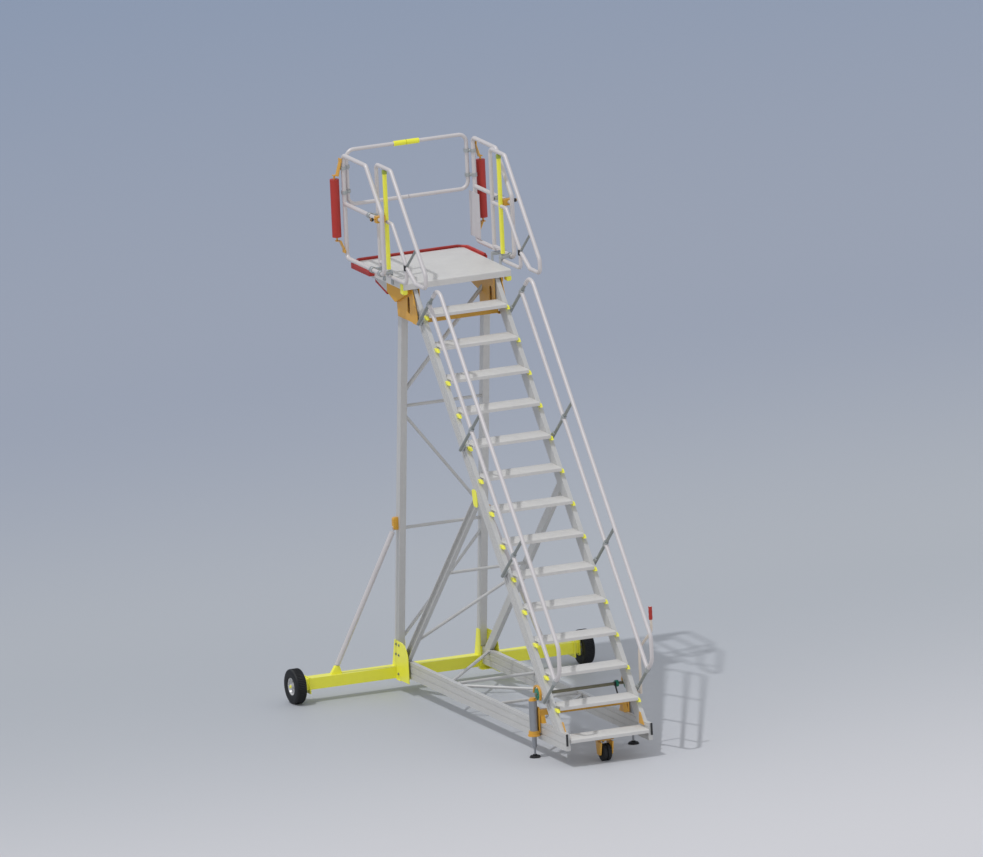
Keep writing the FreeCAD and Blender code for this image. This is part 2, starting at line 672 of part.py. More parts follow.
def mast_head():
    """Slotted cheek plates on both masts, with a flange and a cross beam."""
    pieces = []
    low = HEAD_LOW_Z
    tread_y, tread_z = tread_nose(1)
    tread_back = tread_y + TREAD_DEPTH
    tread_low = tread_z - TREAD_HEIGHT
    stringer_back = DECK_NEAR_Y - (DECK_TOP - low) * GOING / RISE
    stringer_back += STRINGER_BACK / SIN_SLOPE
    belly = [(HEAD_FRONT_Y, DECK_UNDER), (HEAD_FRONT_Y, DECK_UNDER - 100)]
    belly += [(mast_y(low) + 38, low + 130), (mast_y(low) + 26, low)]
    tail = HEAD_BEAM_Y - 40
    outer = belly + [(tail, low), (tail, low + 80), (DECK_NEAR_Y + 20, DECK_UNDER)]
    step_y = tread_back + PLATE
    inner = belly + [(HEAD_BEAM_Y, low), (HEAD_BEAM_Y, tread_low - 12), (step_y, tread_low - 12)]
    inner += [(step_y, DECK_UNDER)]
    for side in SIDES.values():
        for face, outline in ((side, outer), (-side, inner)):
            near = side * MAST_X + face * MAST_WIDTH / 2
            plate = side_plate(outline, near, near + face * PLATE)
            for z in (HEAD_SLOT_Z, HEAD_SLOT_Z + HEAD_SLOT_LENGTH):
                ends = [vec(near + way * 20, HEAD_SLOT_Y, z) for way in (-1, 1)]
                plate = plate.cut(rod(*ends, HEAD_SLOT_RADIUS))
            slot_y = (HEAD_SLOT_Y - HEAD_SLOT_RADIUS, HEAD_SLOT_Y + HEAD_SLOT_RADIUS)
            slot_z = (HEAD_SLOT_Z, HEAD_SLOT_Z + HEAD_SLOT_LENGTH)
            pieces.append(plate.cut(block(near - 20, near + 20, *slot_y, *slot_z)))
        wide = MAST_WIDTH / 2 + PLATE
        x = side * MAST_X
        span = (stringer_back + 4, stringer_back + 90)
        pieces.append(block(x - wide, x + wide, *span, low - PLATE, low))
    reach = MAST_X - MAST_WIDTH / 2 - PLATE
    pieces.append(block(-reach, reach, HEAD_BEAM_Y, HEAD_BEAM_Y + 45, low, low + 52))
    return fused(pieces)


def bumper():
    """A padded strip round the deck's aircraft edge, with short side legs."""
    outer = DECK_HALF_WIDTH + BUMPER_THICKNESS
    inner = DECK_HALF_WIDTH
    cut = BUMPER_CHAMFER
    points = [(-outer, BUMPER_LEG_Y), (-outer, BUMPER_FACE_Y - cut), (-outer + cut, BUMPER_FACE_Y)]
    points += [(outer - cut, BUMPER_FACE_Y), (outer, BUMPER_FACE_Y - cut), (outer, BUMPER_LEG_Y)]
    points += [(inner, BUMPER_LEG_Y), (inner, DECK_FAR_Y)]
    points += [(-inner, DECK_FAR_Y), (-inner, BUMPER_LEG_Y)]
    base = DECK_TOP - BUMPER_HEIGHT
    wire = Part.makePolygon([vec(x, y, base) for x, y in points + [points[0]]])
    strip = Part.Face(wire).extrude(vec(0, 0, BUMPER_HEIGHT))
    pads = both_sides(arm_pad)
    return Part.makeCompound([strip] + pads)


def arm_pad(side):
    """A strip under the sloping belly of a deck arm."""
    inner = side * (MAST_X + MAST_WIDTH / 2 + PLATE)
    belly = arm_belly()
    under = [(y, z - 24) for y, z in reversed(belly)]
    return side_plate(belly + under, inner, inner + side * 30)


# ---------------------------------------------------------------- stair handrails
def post_stations():
    return [POST_FIRST + POST_PITCH * number for number in range(POST_COUNT)]


def handrail(side):
    """The top rail, with a bend onto the first post and a drop onto the last one."""
    x = side * HANDRAIL_X
    first, last = post_stations()[0], post_stations()[-1]
    at_end = (DECK_NEAR_Y - HANDRAIL_END_Y - HANDRAIL_TOP * SIN_SLOPE) / COS_SLOPE
    leg = handrail_leg_above()
    points = [slope_point(x, first, HANDRAIL_TOP - HANDRAIL_LEG)]
    points += [slope_point(x, first, HANDRAIL_TOP)]
    points += [slope_point(x, at_end, HANDRAIL_TOP), slope_point(x, last, leg + HANDRAIL_LEG)]
    points += [slope_point(x, last, leg)]
    return bent_tube(points, HANDRAIL_BEND, HANDRAIL_RADIUS)


def handrail_leg_above():
    """How high over the nose line the top rail's lower leg ends on the last post."""
    last = post_stations()[-1]
    corner = (DECK_NEAR_Y - HANDRAIL_END_Y - last * COS_SLOPE) / SIN_SLOPE
    return corner - HANDRAIL_LEG


def handrail_mid_pieces(side):
    """The mid rail, in lengths that butt on the clamps of the posts."""
    x = side * HANDRAIL_X
    stations = post_stations()
    gap = CLAMP_RADIUS + BUTT_GAP
    pieces = []
    for upper, lower in zip(stations, stations[1:]):
        start = slope_point(x, upper + gap, HANDRAIL_MID)
        last = lower == stations[-1]
        end_gap = HANDRAIL_RADIUS + BUTT_GAP if last else gap
        end = slope_point(x, lower - end_gap, HANDRAIL_MID)
        pieces.append(rod(start, end, HANDRAIL_RADIUS - 1))
    return pieces


def stair_handrails():
    pieces = []
    for side in SIDES.values():
        pieces.append(handrail(side))
        pieces.extend(handrail_mid_pieces(side))
    return Part.makeCompound(pieces)


def handrail_post(side, number):
    """A post square to the stair, its foot clamped to the outside of the stringer."""
    x = side * HANDRAIL_X
    along = post_stations()[number]
    foot = -STRINGER_BACK + 25
    last = number == POST_COUNT - 1
    top = HANDRAIL_TOP - HANDRAIL_RADIUS - 0.3
    if number == 0:
        top = HANDRAIL_TOP - HANDRAIL_LEG
    if last:
        top = handrail_leg_above()
    post = rod(slope_point(x, along, foot), slope_point(x, along, top), POST_RADIUS)
    half = CLAMP_LENGTH / 2
    middle = HANDRAIL_MID
    ends = [slope_point(x, along, middle + way * half) for way in (-1, 1)]
    sleeve = rod(*ends, CLAMP_RADIUS)
    wall = side * (STRINGER_X + STRINGER_WIDTH / 2)
    upper = foot + 95
    corners = [(along - 22, upper), (along + 22, upper), (along + 22, foot), (along - 22, foot)]
    lug = side_plate([down_slope(*corner) for corner in corners], wall, x)
    return fused([post, lug] if last else [post, sleeve, lug])


# ---------------------------------------------------------------- deck guards
def guard_knee_slope(y, z, fall_to):
    """The point where a line at the stair's slope from (y, z) reaches a height."""
    return y - (z - fall_to) * GOING / RISE, fall_to


def deck_guard(side):
    """A fixed guard: an outer hoop that hooks round below, and an inner hoop."""
    x = side * GUARD_X
    end = guard_knee_slope(GUARD_KNEE_Y, GUARD_TOP_Z, GUARD_END_Z)
    outer_points = [vec(x, GUARD_FRONT_Y, GUARD_FOOT_Z), vec(x, GUARD_FRONT_Y, GUARD_TOP_Z)]
    outer_points += [vec(x, GUARD_KNEE_Y, GUARD_TOP_Z)]
    outer_points += [vec(x, end[0] - 16, end[1] - 16 * RISE / GOING)]
    outer_points += [vec(x, end[0] + 95, end[1] - 16 * RISE / GOING)]
    outer_points += [vec(x, end[0] + 150, end[1] - 16 * RISE / GOING + 65)]
    hoop = bent_tube(outer_points, HOOK_RADIUS, GUARD_RADIUS)
    near = YELLOW_POST_Y + YELLOW_POST_SIZE / 2
    spurs = []
    for z in (GUARD_MID_Z, GUARD_LOW_Z):
        spurs.append(rod(vec(x, GUARD_FRONT_Y, z), vec(x, near, z), INNER_HOOP_RADIUS))
    outer = fused([hoop] + spurs)
    back = YELLOW_POST_Y - YELLOW_POST_SIZE / 2
    knee_y = back - 40
    foot = guard_knee_slope(knee_y, GUARD_MID_Z, GUARD_LOW_Z)
    inner_points = [vec(x, back, GUARD_MID_Z), vec(x, knee_y - 20, GUARD_MID_Z)]
    inner_points += [vec(x, foot[0] - 20, GUARD_LOW_Z), vec(x, back, GUARD_LOW_Z)]
    inner = bent_tube(inner_points, INNER_HOOP_BEND, INNER_HOOP_RADIUS)
    return [outer, inner]


def deck_guards():
    pieces = []
    for side in SIDES.values():
        pieces.extend(deck_guard(side))
    return Part.makeCompound(pieces)


def guard_brace(side):
    """A stay square to the slope between a guard's outer and inner hoops."""
    x = side * GUARD_X
    start = guard_knee_slope(GUARD_KNEE_Y, GUARD_TOP_Z, GUARD_END_Z + 150)
    back = YELLOW_POST_Y - YELLOW_POST_SIZE / 2
    knee_y = back - 60
    way = vec(0, SIN_SLOPE, -COS_SLOPE)
    inner_line = guard_knee_slope(knee_y, GUARD_MID_Z, GUARD_LOW_Z)
    begin = vec(x, *start)
    offset = vec(x, *inner_line).sub(begin).dot(way)
    top = begin.add(way * (GUARD_RADIUS - 4))
    stay = rod(top, begin.add(way * (offset - GUARD_RADIUS + 6)), 11)
    outer_line = rod(vec(x, GUARD_KNEE_Y, GUARD_TOP_Z), vec(x, *guard_knee_slope(
        GUARD_KNEE_Y, GUARD_TOP_Z, GUARD_END_Z)), GUARD_RADIUS + 0.3)
    inner_rod = rod(vec(x, knee_y, GUARD_MID_Z), vec(x, *inner_line), INNER_HOOP_RADIUS + 0.3)
    return stay.cut(outer_line).cut(inner_rod)


def yellow_post(side):
    """An upright at the deck's edge that carries the guard rails."""
    x = side * GUARD_X
    half = YELLOW_POST_SIZE / 2
    top = GUARD_TOP_Z - GUARD_RADIUS - 0.3
    return block(x - half, x + half, YELLOW_POST_Y - half, YELLOW_POST_Y + half, GUARD_FOOT_Z, top)


def slide_block(side, inner_x, y, z, low_z):
    """A guide block that a rail of the sliding guard runs through."""
    x = side * SLIDER_X
    half = GUIDE_LENGTH / 2
    body = block(side * inner_x, x + side * GUIDE_REACH, y - half, y + half, low_z, z + GUIDE_REACH)
    bore = rod(vec(x, y - half - 5, z), vec(x, y + half + 5, z), SLIDE_BORE)
    return body.cut(bore)


def guard_guides():
    pieces = []
    for side in SIDES.values():
        for y in (GUARD_FRONT_Y, YELLOW_POST_Y):
            pieces.append(slide_block(side, DECK_HALF_WIDTH, y, SLIDER_LOW_Z, DECK_UNDER))
        inner = GUARD_X + GUARD_RADIUS + 0.3
        low = SLIDER_MID_Z - GUIDE_REACH
        pieces.append(slide_block(side, inner, GUARD_FRONT_Y, SLIDER_MID_Z, low))
    return Part.makeCompound(pieces)


def index_plunger(side):
    """A guide block with a spring plunger that pins the sliding guard."""
    inner = GUARD_X + YELLOW_POST_SIZE / 2
    body = slide_block(side, inner, YELLOW_POST_Y, SLIDER_MID_Z, SLIDER_MID_Z - GUIDE_REACH)
    face = side * (SLIDER_X + GUIDE_REACH)
    z = SLIDER_MID_Z + 4
    stem = rod(vec(face, YELLOW_POST_Y, z), vec(face + side * 22, YELLOW_POST_Y, z), 8)
    knob = rod(vec(face + side * 22, YELLOW_POST_Y, z), vec(face + side * 46, YELLOW_POST_Y, z), 14)
    return fused([body, stem, knob])


# ---------------------------------------------------------------- sliding guards
def sliding_guard(side):
    """A welded guard frame that runs back along the deck in its guides."""
    x = side * SLIDER_X
    split = SLIDER_FRONT_Y - 370
    points = [vec(x, split, SLIDER_LOW_Z), vec(x, SLIDER_FRONT_Y, SLIDER_LOW_Z)]
    points += [vec(x, SLIDER_FRONT_Y, SLIDER_TOP_Z), vec(x, SLIDER_KNEE_Y, SLIDER_TOP_Z)]
    points += [vec(x, SLIDER_REAR_Y, SLIDER_SHOULDER_Z), vec(x, SLIDER_REAR_Y, SLIDER_LOW_Z)]
    points += [vec(x, split - 100, SLIDER_LOW_Z)]
    hoop = bent_tube(points, SLIDER_BEND, SLIDER_RADIUS)
    closer = rod(vec(x, split, SLIDER_LOW_Z), vec(x, split - 100, SLIDER_LOW_Z), SLIDER_RADIUS)
    ends = (vec(x, SLIDER_FRONT_Y, SLIDER_MID_Z), vec(x, SLIDER_REAR_Y, SLIDER_MID_Z))
    mid = rod(*ends, SLIDER_RADIUS - WELD_STEP)
    pieces = [hoop, closer, mid]
    if side > 0:
        inner = x - side * (SLIDER_RADIUS - 2)
        low = SLIDER_LOW_Z + SLIDER_RADIUS + 16
        span = (SLIDER_FRONT_Y - 130, SLIDER_FRONT_Y + 88)
        pieces.append(block(inner, inner - side * 5, *span, low, low + 395))
    return fused(pieces)


def gate_hinges(side):
    """Two split clamps that carry a gate's stile on the guard's corner post."""
    pieces = []
    stile = vec(side * GATE_X, GATE_Y, 0)
    post = vec(side * SLIDER_X, SLIDER_FRONT_Y, 0)
    for z in (GATE_MID_Z + 105, GATE_TOP_Z - 160):
        base = vec(0, 0, z)
        ring = Part.makeCylinder(GATE_RADIUS + 9, 30, stile.add(base))
        eye = Part.makeCylinder(SLIDER_RADIUS + 7, 30, post.add(base))
        web = rod(stile.add(vec(0, 0, z + 15)), post.add(vec(0, 0, z + 15)), 12)
        clamp = fused([ring, web, eye])
        under = vec(0, 0, z - 5)
        clamp = clamp.cut(Part.makeCylinder(GATE_RADIUS + SLIDE_CLEARANCE, 40, stile.add(under)))
        pieces.append(clamp.cut(Part.makeCylinder(SLIDER_RADIUS + 0.3, 40, post.add(under))))
    return Part.makeCompound(pieces)


def gate(side):
    """A half gate: one tube bent round its stile, with half of the latch sleeve."""
    x = side * GATE_X
    free = side * GATE_GAP
    points = [vec(free, GATE_Y, GATE_TOP_Z), vec(x, GATE_Y, GATE_TOP_Z)]
    points += [vec(x, GATE_Y, GATE_MID_Z), vec(free, GATE_Y, GATE_MID_Z)]
    loop = bent_tube(points, GATE_BEND, GATE_RADIUS)
    far = free + side * LATCH_LENGTH
    sleeve = rod(vec(free, GATE_Y, GATE_TOP_Z), vec(far, GATE_Y, GATE_TOP_Z), LATCH_RADIUS)
    return fused([loop, sleeve])


def roller(side):
    """A fender roller on its upright axle."""
    base = vec(side * ROLLER_X, ROLLER_Y, ROLLER_BOTTOM_Z)
    body = Part.makeCylinder(ROLLER_RADIUS, ROLLER_LENGTH, base)
    wide = ROLLER_AXLE_RADIUS + RUNNING_CLEARANCE
    bore = Part.makeCylinder(wide, ROLLER_LENGTH + 20, base.sub(vec(0, 0, 10)))
    return body.cut(bore)


def roller_bracket(side):
    """The roller's axle and the two bent straps that hold it to the corner post."""
    x = side * ROLLER_X
    pieces = [Part.makeCylinder(
        ROLLER_AXLE_RADIUS, ROLLER_LENGTH + 80, vec(x, ROLLER_Y, ROLLER_BOTTOM_Z - 40))]
    post = side * (SLIDER_X + SLIDER_RADIUS + 0.3)
    low = ROLLER_BOTTOM_Z
    high = ROLLER_BOTTOM_Z + ROLLER_LENGTH
    for near, far in ((low - 30, low - 110), (high + 30, high + 150)):
        step = 8 if far > near else -8
        pieces.append(block(x - 14, x + 14, ROLLER_Y - 22, ROLLER_Y + 16, near, near + step))
        knee = x - side * 20
        outline = [(knee - side * 4, near), (knee + side * 4 + side * 4, near)]
        outline += [(post + side * 8, far), (post, far)]
        points = [vec(px, ROLLER_Y - 44, pz) for px, pz in outline]
        face = Part.Face(Part.makePolygon(points + [points[0]]))
        pieces.append(face.extrude(vec(0, 50, 0)))
        foot = (ROLLER_Y - 54, ROLLER_Y + 6)
        pieces.append(block(post, post + side * 8, *foot, far, far + step * 4))
    return fused(pieces)


# ---------------------------------------------------------------- jacks and caster
def jack_housing(side):
    """A jack's outer tube with its foot ring, clamp bands and closed top."""
    x = side * JACK_X
    base = vec(x, JACK_Y, JACK_BOTTOM_Z)
    tube = Part.makeCylinder(JACK_RADIUS, JACK_TOP_Z - JACK_BOTTOM_Z, base)
    ring = Part.makeCylinder(JACK_RADIUS + 8, 14, base)
    body = fused([tube, ring])
    depth = JACK_TOP_Z - JACK_BOTTOM_Z - 10
    return body.cut(Part.makeCylinder(JACK_LEG_RADIUS + SLIDE_CLEARANCE, depth, base))


def jack_leg(side):
    """The sliding inner tube and its spindle."""
    x = side * JACK_X
    tube = Part.makeCylinder(JACK_LEG_RADIUS, 240, vec(x, JACK_Y, 90))
    spindle = Part.makeCylinder(9, 100, vec(x, JACK_Y, JACK_FOOT_HEIGHT))
    return fused([tube, spindle])


def jack_foot(side):
    """A round foot pad with a raised boss."""
    x = side * JACK_X
    pad = Part.makeCone(JACK_FOOT_RADIUS, JACK_FOOT_RADIUS - 8, JACK_FOOT_HEIGHT, vec(x, JACK_Y, 0))
    boss = Part.makeCylinder(18, 12, vec(x, JACK_Y, JACK_FOOT_HEIGHT))
    hole = Part.makeCylinder(9.3, 40, vec(x, JACK_Y, JACK_FOOT_HEIGHT))
    return fused([pad, boss]).cut(hole)


def jack_beam():
    """The cross beam that joins the jacks, on saddles over the base rails."""
    reach = JACK_X - JACK_RADIUS - 0.3
    half = JACK_BEAM_DEPTH / 2
    top = JACK_BEAM_Z + JACK_BEAM_HEIGHT
    pieces = [block(-reach, reach, JACK_Y - half, JACK_Y + half, JACK_BEAM_Z, top)]
    for side in SIDES.values():
        x = side * STRINGER_X
        wide = RAIL_WIDTH / 2
        outline = [(JACK_Y - half - 30, RAIL_TOP), (JACK_Y + half + 30, RAIL_TOP)]
        outline += [(JACK_Y + half, JACK_BEAM_Z), (JACK_Y - half, JACK_BEAM_Z)]
        pieces.append(side_plate(outline, x - wide, x + wide))
    return fused(pieces)


def jack_gearbox(side):
    """A round-topped gear housing on a jack, split where its gear shows."""
    x = side * JACK_X
    centre_z = JACK_TOP_Z + 52
    pieces = [block(x - 26, x + 26, JACK_Y - 34, JACK_Y + 34, JACK_TOP_Z, centre_z)]
    pieces.append(rod(vec(x - 26, JACK_Y, centre_z), vec(x + 26, JACK_Y, centre_z), 44))
    body = fused(pieces).common(block(x - 60, x + 60, JACK_Y - 80, JACK_Y + 80, JACK_TOP_Z, 900))
    return body


def gear(side):
    """A spur gear on the cross shaft, inboard of its housing."""
    x = side * (JACK_X - 26 - 20)
    centre = vec(x, JACK_Y, JACK_TOP_Z + 52)
    outline = []
    for tooth in range(GEAR_TEETH):
        for share, radius in ((0.0, 0.86), (0.3, 0.86), (0.42, 1.0), (0.62, 1.0), (0.74, 0.86)):
            angle = 2 * math.pi * (tooth + share) / GEAR_TEETH
            if share == 0.0 and radius == 0.86:
                continue
            far = radius * GEAR_RADIUS
            outline.append((far * math.cos(angle), far * math.sin(angle)))
    points = [centre.add(vec(-8, a, b)) for a, b in outline]
    wheel = Part.Face(Part.makePolygon(points + [points[0]])).extrude(vec(16, 0, 0))
    bore = rod(centre.add(vec(-30, 0, 0)), centre.add(vec(30, 0, 0)), 10.3)
    return wheel.cut(bore)


def cross_shaft():
    reach = JACK_X - 26
    z = JACK_TOP_Z + 52
    return rod(vec(-reach, JACK_Y, z), vec(reach, JACK_Y, z), 10)


def jack_crank():
    """The crank on the cross shaft: a split hub, an arm and a hand grip."""
    x = STRINGER_X - 73
    z = JACK_TOP_Z + 52
    hub = rod(vec(x - 9, JACK_Y, z), vec(x + 9, JACK_Y, z), 19)
    arm = rod(vec(x, JACK_Y, z), vec(x, JACK_Y - 62, z - 92), 7)
    grip = rod(vec(x + 8, JACK_Y - 62, z - 92), vec(x - 78, JACK_Y - 62, z - 92), 11)
    return fused([hub, arm, grip]).cut(rod(vec(x - 20, JACK_Y, z), vec(x + 20, JACK_Y, z), 10.3))


def control_lever():
    """A bent hand lever beside the right jack, on a lug at the jack's tube."""
    x = JACK_X + 52
    y = JACK_Y - 96
    low = JACK_TOP_Z - 45
    points = [vec(x, y, low), vec(x, y - 8, low + 405), vec(x, y - 300, low + 605)]
    points += [vec(x, y - 296, low + 825)]
    lever = bent_tube(points, 60, 12)
    lug = rod(vec(JACK_X, JACK_Y - JACK_RADIUS - 0.3, low + 15), vec(x, y, low + 15), 9)
    tube = rod(vec(JACK_X, JACK_Y, low - 50), vec(JACK_X, JACK_Y, low + 150), JACK_RADIUS + 0.3)
    return fused([lever, lug]).cut(tube)


def caster_mount():
    """The caster's fixed plate and king pin under the stair foot."""
    under = RISE - TREAD_HEIGHT - 26
    plate = block(-58, 58, CASTER_Y - 50, CASTER_Y + 50, under - 8, under)
    pin = Part.makeCylinder(9, 30, vec(0, CASTER_Y, under - 38))
    return fused([plate, pin])


def caster_fork():
    """A swivel fork whose cheeks reach down to the wheel axle."""
    under = RISE - TREAD_HEIGHT - 26
    top = under - 8 - 1
    inner = CASTER_WIDTH + 9
    wheel_y = CASTER_Y - CASTER_TRAIL
    crown = block(-inner - 6, inner + 6, CASTER_Y - 46, CASTER_Y + 38, top - 8, top)
    crown = crown.cut(Part.makeCylinder(9 + RUNNING_CLEARANCE, 60, vec(0, CASTER_Y, top - 30)))
    pieces = [crown]
    outline = [(CASTER_Y - 46, top), (CASTER_Y + 38, top), (wheel_y + 16, CASTER_RADIUS - 16)]
    outline += [(wheel_y - 16, CASTER_RADIUS - 16)]
    for side in SIDES.values():
        pieces.append(side_plate(outline, side * inner, side * (inner + 6)))
    axle_end = inner + 6
    ends = [vec(way * axle_end, wheel_y, CASTER_RADIUS) for way in (-1, 1)]
    pieces.append(rod(*ends, 8))
    return fused(pieces)


def caster_wheels():
    """Twin caster wheels on one hub."""
    wheel_y = CASTER_Y - CASTER_TRAIL
    pieces = []
    for side in SIDES.values():
        near = vec(side * 4, wheel_y, CASTER_RADIUS)
        far = vec(side * (4 + CASTER_WIDTH), wheel_y, CASTER_RADIUS)
        wheel = rod(near, far, CASTER_RADIUS)
        rims = [edge for edge in wheel.Edges if edge.Closed]
        pieces.append(wheel.makeChamfer(4, rims))
    pieces.append(rod(vec(-38, wheel_y, CASTER_RADIUS), vec(38, wheel_y, CASTER_RADIUS), 30))
    body = fused(pieces)
    ends = [vec(way * 60, wheel_y, CASTER_RADIUS) for way in (-1, 1)]
    return body.cut(rod(*ends, 8 + RUNNING_CLEARANCE))


# ---------------------------------------------------------------- assembly
def stair_brackets():
    pieces = []
    for number in range(1, RISES - 1):
        for side in SIDES.values():
            pieces.append(tread_bracket(number, side))
    return Part.makeCompound(pieces + both_sides(strut_bracket))


def outrigger_brackets():
    pieces = []
    for side in SIDES.values():
        pieces.append(outrigger_bracket(side, True))
        pieces.append(outrigger_bracket(side, False))
    return Part.makeCompound(pieces)


def handrail_posts():
    pieces = []
    for side in SIDES.values():
        for number in range(POST_COUNT):
            pieces.append(handrail_post(side, number))
    return Part.makeCompound(pieces)


def pair(make):
    return Part.makeCompound(both_sides(make))


def all_nodes():
    """Every sub-part by its name."""
    nodes = {
        "axle_beam": axle_beam(),
        "mast_shoes": pair(mast_shoe),
        "masts": pair(mast),
        "mast_braces": mast_braces(),
        "outrigger_struts": pair(outrigger_strut),
        "outrigger_brackets": outrigger_brackets(),
        "base_rails": pair(base_rail),
        "base_rail_caps": pair(base_rail_cap),
        "base_braces": base_braces(),
        "back_struts": pair(back_strut),
        "stair_stringers": pair(stringer),
        "stair_treads": Part.makeCompound([tread(number) for number in range(1, RISES)]),
        "stair_brackets": stair_brackets(),
        "deck": deck(),
        "deck_corner_brackets": pair(deck_corner_bracket),
        "deck_arms": pair(deck_arm),
        "mast_head": mast_head(),
        "bumper": bumper(),
        "stair_handrails": stair_handrails(),
        "handrail_posts": handrail_posts(),
        "deck_guards": deck_guards(),
        "guard_braces": pair(guard_brace),
        "guard_posts": pair(yellow_post),
        "guard_guides": guard_guides(),
        "index_plungers": pair(index_plunger),
        "jack_housings": pair(jack_housing),
        "jack_beam": jack_beam(),
        "jack_gearboxes": pair(jack_gearbox),
        "jack_gears": pair(gear),
        "cross_shaft": cross_shaft(),
        "jack_crank": jack_crank(),
        "control_lever": control_lever(),
        "caster_mount": caster_mount(),
        "caster_fork": caster_fork(),
        "caster_wheels": caster_wheels(),
    }
    for name, side in SIDES.items():
        nodes["tyre_" + name] = tyre(side)
        nodes["rim_" + name] = rim(side)
        nodes["jack_leg_" + name] = jack_leg(side)
        nodes["jack_foot_" + name] = jack_foot(side)
        nodes["sliding_guard_" + name] = sliding_guard(side)
        nodes["gate_hinges_" + name] = gate_hinges(side)
        nodes["roller_bracket_" + name] = roller_bracket(side)
        nodes["gate_" + name] = gate(side)
        nodes["roller_" + name] = roller(side)
    return nodes


def main():
    os.makedirs("parts", exist_ok=True)
    for name, shape in all_nodes().items():
        shape.translate(vec(0, -MIDDLE_Y, 0))
        if not shape.isValid():
            print("not valid:", name)
        shape.exportStep("parts/" + name + ".step")
        print(name, len(shape.Solids), round(shape.Volume / 1e6, 3))


main()
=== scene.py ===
"""Finishes, trim, stage and camera for a wheeled aircraft maintenance platform."""

import logging
import math
from dataclasses import dataclass, replace
from enum import Enum
from typing import Callable, Sequence

import bmesh
import bpy
from mathutils import Matrix, Vector

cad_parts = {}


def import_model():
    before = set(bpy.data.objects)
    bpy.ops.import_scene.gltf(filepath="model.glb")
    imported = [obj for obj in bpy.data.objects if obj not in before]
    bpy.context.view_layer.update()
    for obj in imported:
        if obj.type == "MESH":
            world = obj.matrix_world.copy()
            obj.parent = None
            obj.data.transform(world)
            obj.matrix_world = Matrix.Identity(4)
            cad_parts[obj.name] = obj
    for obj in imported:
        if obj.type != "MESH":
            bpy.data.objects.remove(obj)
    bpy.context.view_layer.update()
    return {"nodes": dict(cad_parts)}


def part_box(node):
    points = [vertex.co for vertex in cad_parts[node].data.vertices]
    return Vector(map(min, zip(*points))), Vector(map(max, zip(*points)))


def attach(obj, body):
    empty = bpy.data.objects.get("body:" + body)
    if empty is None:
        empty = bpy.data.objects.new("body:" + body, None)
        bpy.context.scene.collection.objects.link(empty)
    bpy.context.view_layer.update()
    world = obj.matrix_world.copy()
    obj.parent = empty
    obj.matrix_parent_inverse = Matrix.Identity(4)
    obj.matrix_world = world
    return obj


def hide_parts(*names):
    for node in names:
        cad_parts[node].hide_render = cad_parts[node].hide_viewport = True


LOG = logging.getLogger("platform")
Colour = tuple[float, float, float]
Triple = tuple[float, float, float]
FRAME_BODY = "platform_frame"
SIDES: dict[str, float] = {"left": -1.0, "right": 1.0}


# ------------------------------------------------------------------ shared shader groups
class Effect(Enum):
    """The shared surface effects, each a shader node group."""

    MOTTLE = "surface_mottle"
    GRAIN = "drawn_grain"
    PEEL = "paint_peel"
    EDGE = "edge_wear"
    DUST = "settled_dust"


def put(tree: bpy.types.NodeTree, kind: str, **values: object) -> bpy.types.Node:
    """Adds a node and sets its plain inputs and properties.

    Args:
        tree: the node tree that takes the node.
        kind: the node's type name.
        values: node properties, or input values whose key starts with in_ and holds the
            input's place or name.

    Returns:
        The new node.
    """
    node = tree.nodes.new(kind)
    for key, value in values.items():
        if key.startswith("in_"):
            place = key[3:]
            node.inputs[int(place) if place.isdigit() else place].default_value = value
        else:
            setattr(node, key, value)
    return node


def open_group(effect: Effect, takes: dict[str, float], gives: Sequence[str]) -> tuple:
    """Starts a shader node group with named inputs and outputs.

    Args:
        effect: the effect that the group makes.
        takes: input names and their default values.
        gives: output names.

    Returns:
        The group, its input node and its output node.
    """
    group = bpy.data.node_groups.new(effect.value, "ShaderNodeTree")
    for name, value in takes.items():
        socket = group.interface.new_socket(name, in_out="INPUT", socket_type="NodeSocketFloat")
        socket.default_value = value
    for name in gives:
        group.interface.new_socket(name, in_out="OUTPUT", socket_type="NodeSocketFloat")
    return group, put(group, "NodeGroupInput"), put(group, "NodeGroupOutput")


def scaled_place(group: bpy.types.NodeTree, start: bpy.types.Node, names: Sequence[str]) -> object:
    """Object coordinates, stretched by three of the group's inputs.

    Args:
        group: the node group.
        start: the group's input node.
        names: the names of the inputs for X, Y and Z.

    Returns:
        The output socket of the stretched place.
    """
    place = put(group, "ShaderNodeTexCoord")
    spread = put(group, "ShaderNodeCombineXYZ")
    for slot, name in enumerate(names):
        group.links.new(start.outputs[name], spread.inputs[slot])
    product = put(group, "ShaderNodeVectorMath", operation="MULTIPLY")
    group.links.new(place.outputs["Object"], product.inputs[0])
    group.links.new(spread.outputs[0], product.inputs[1])
    return product.outputs[0]


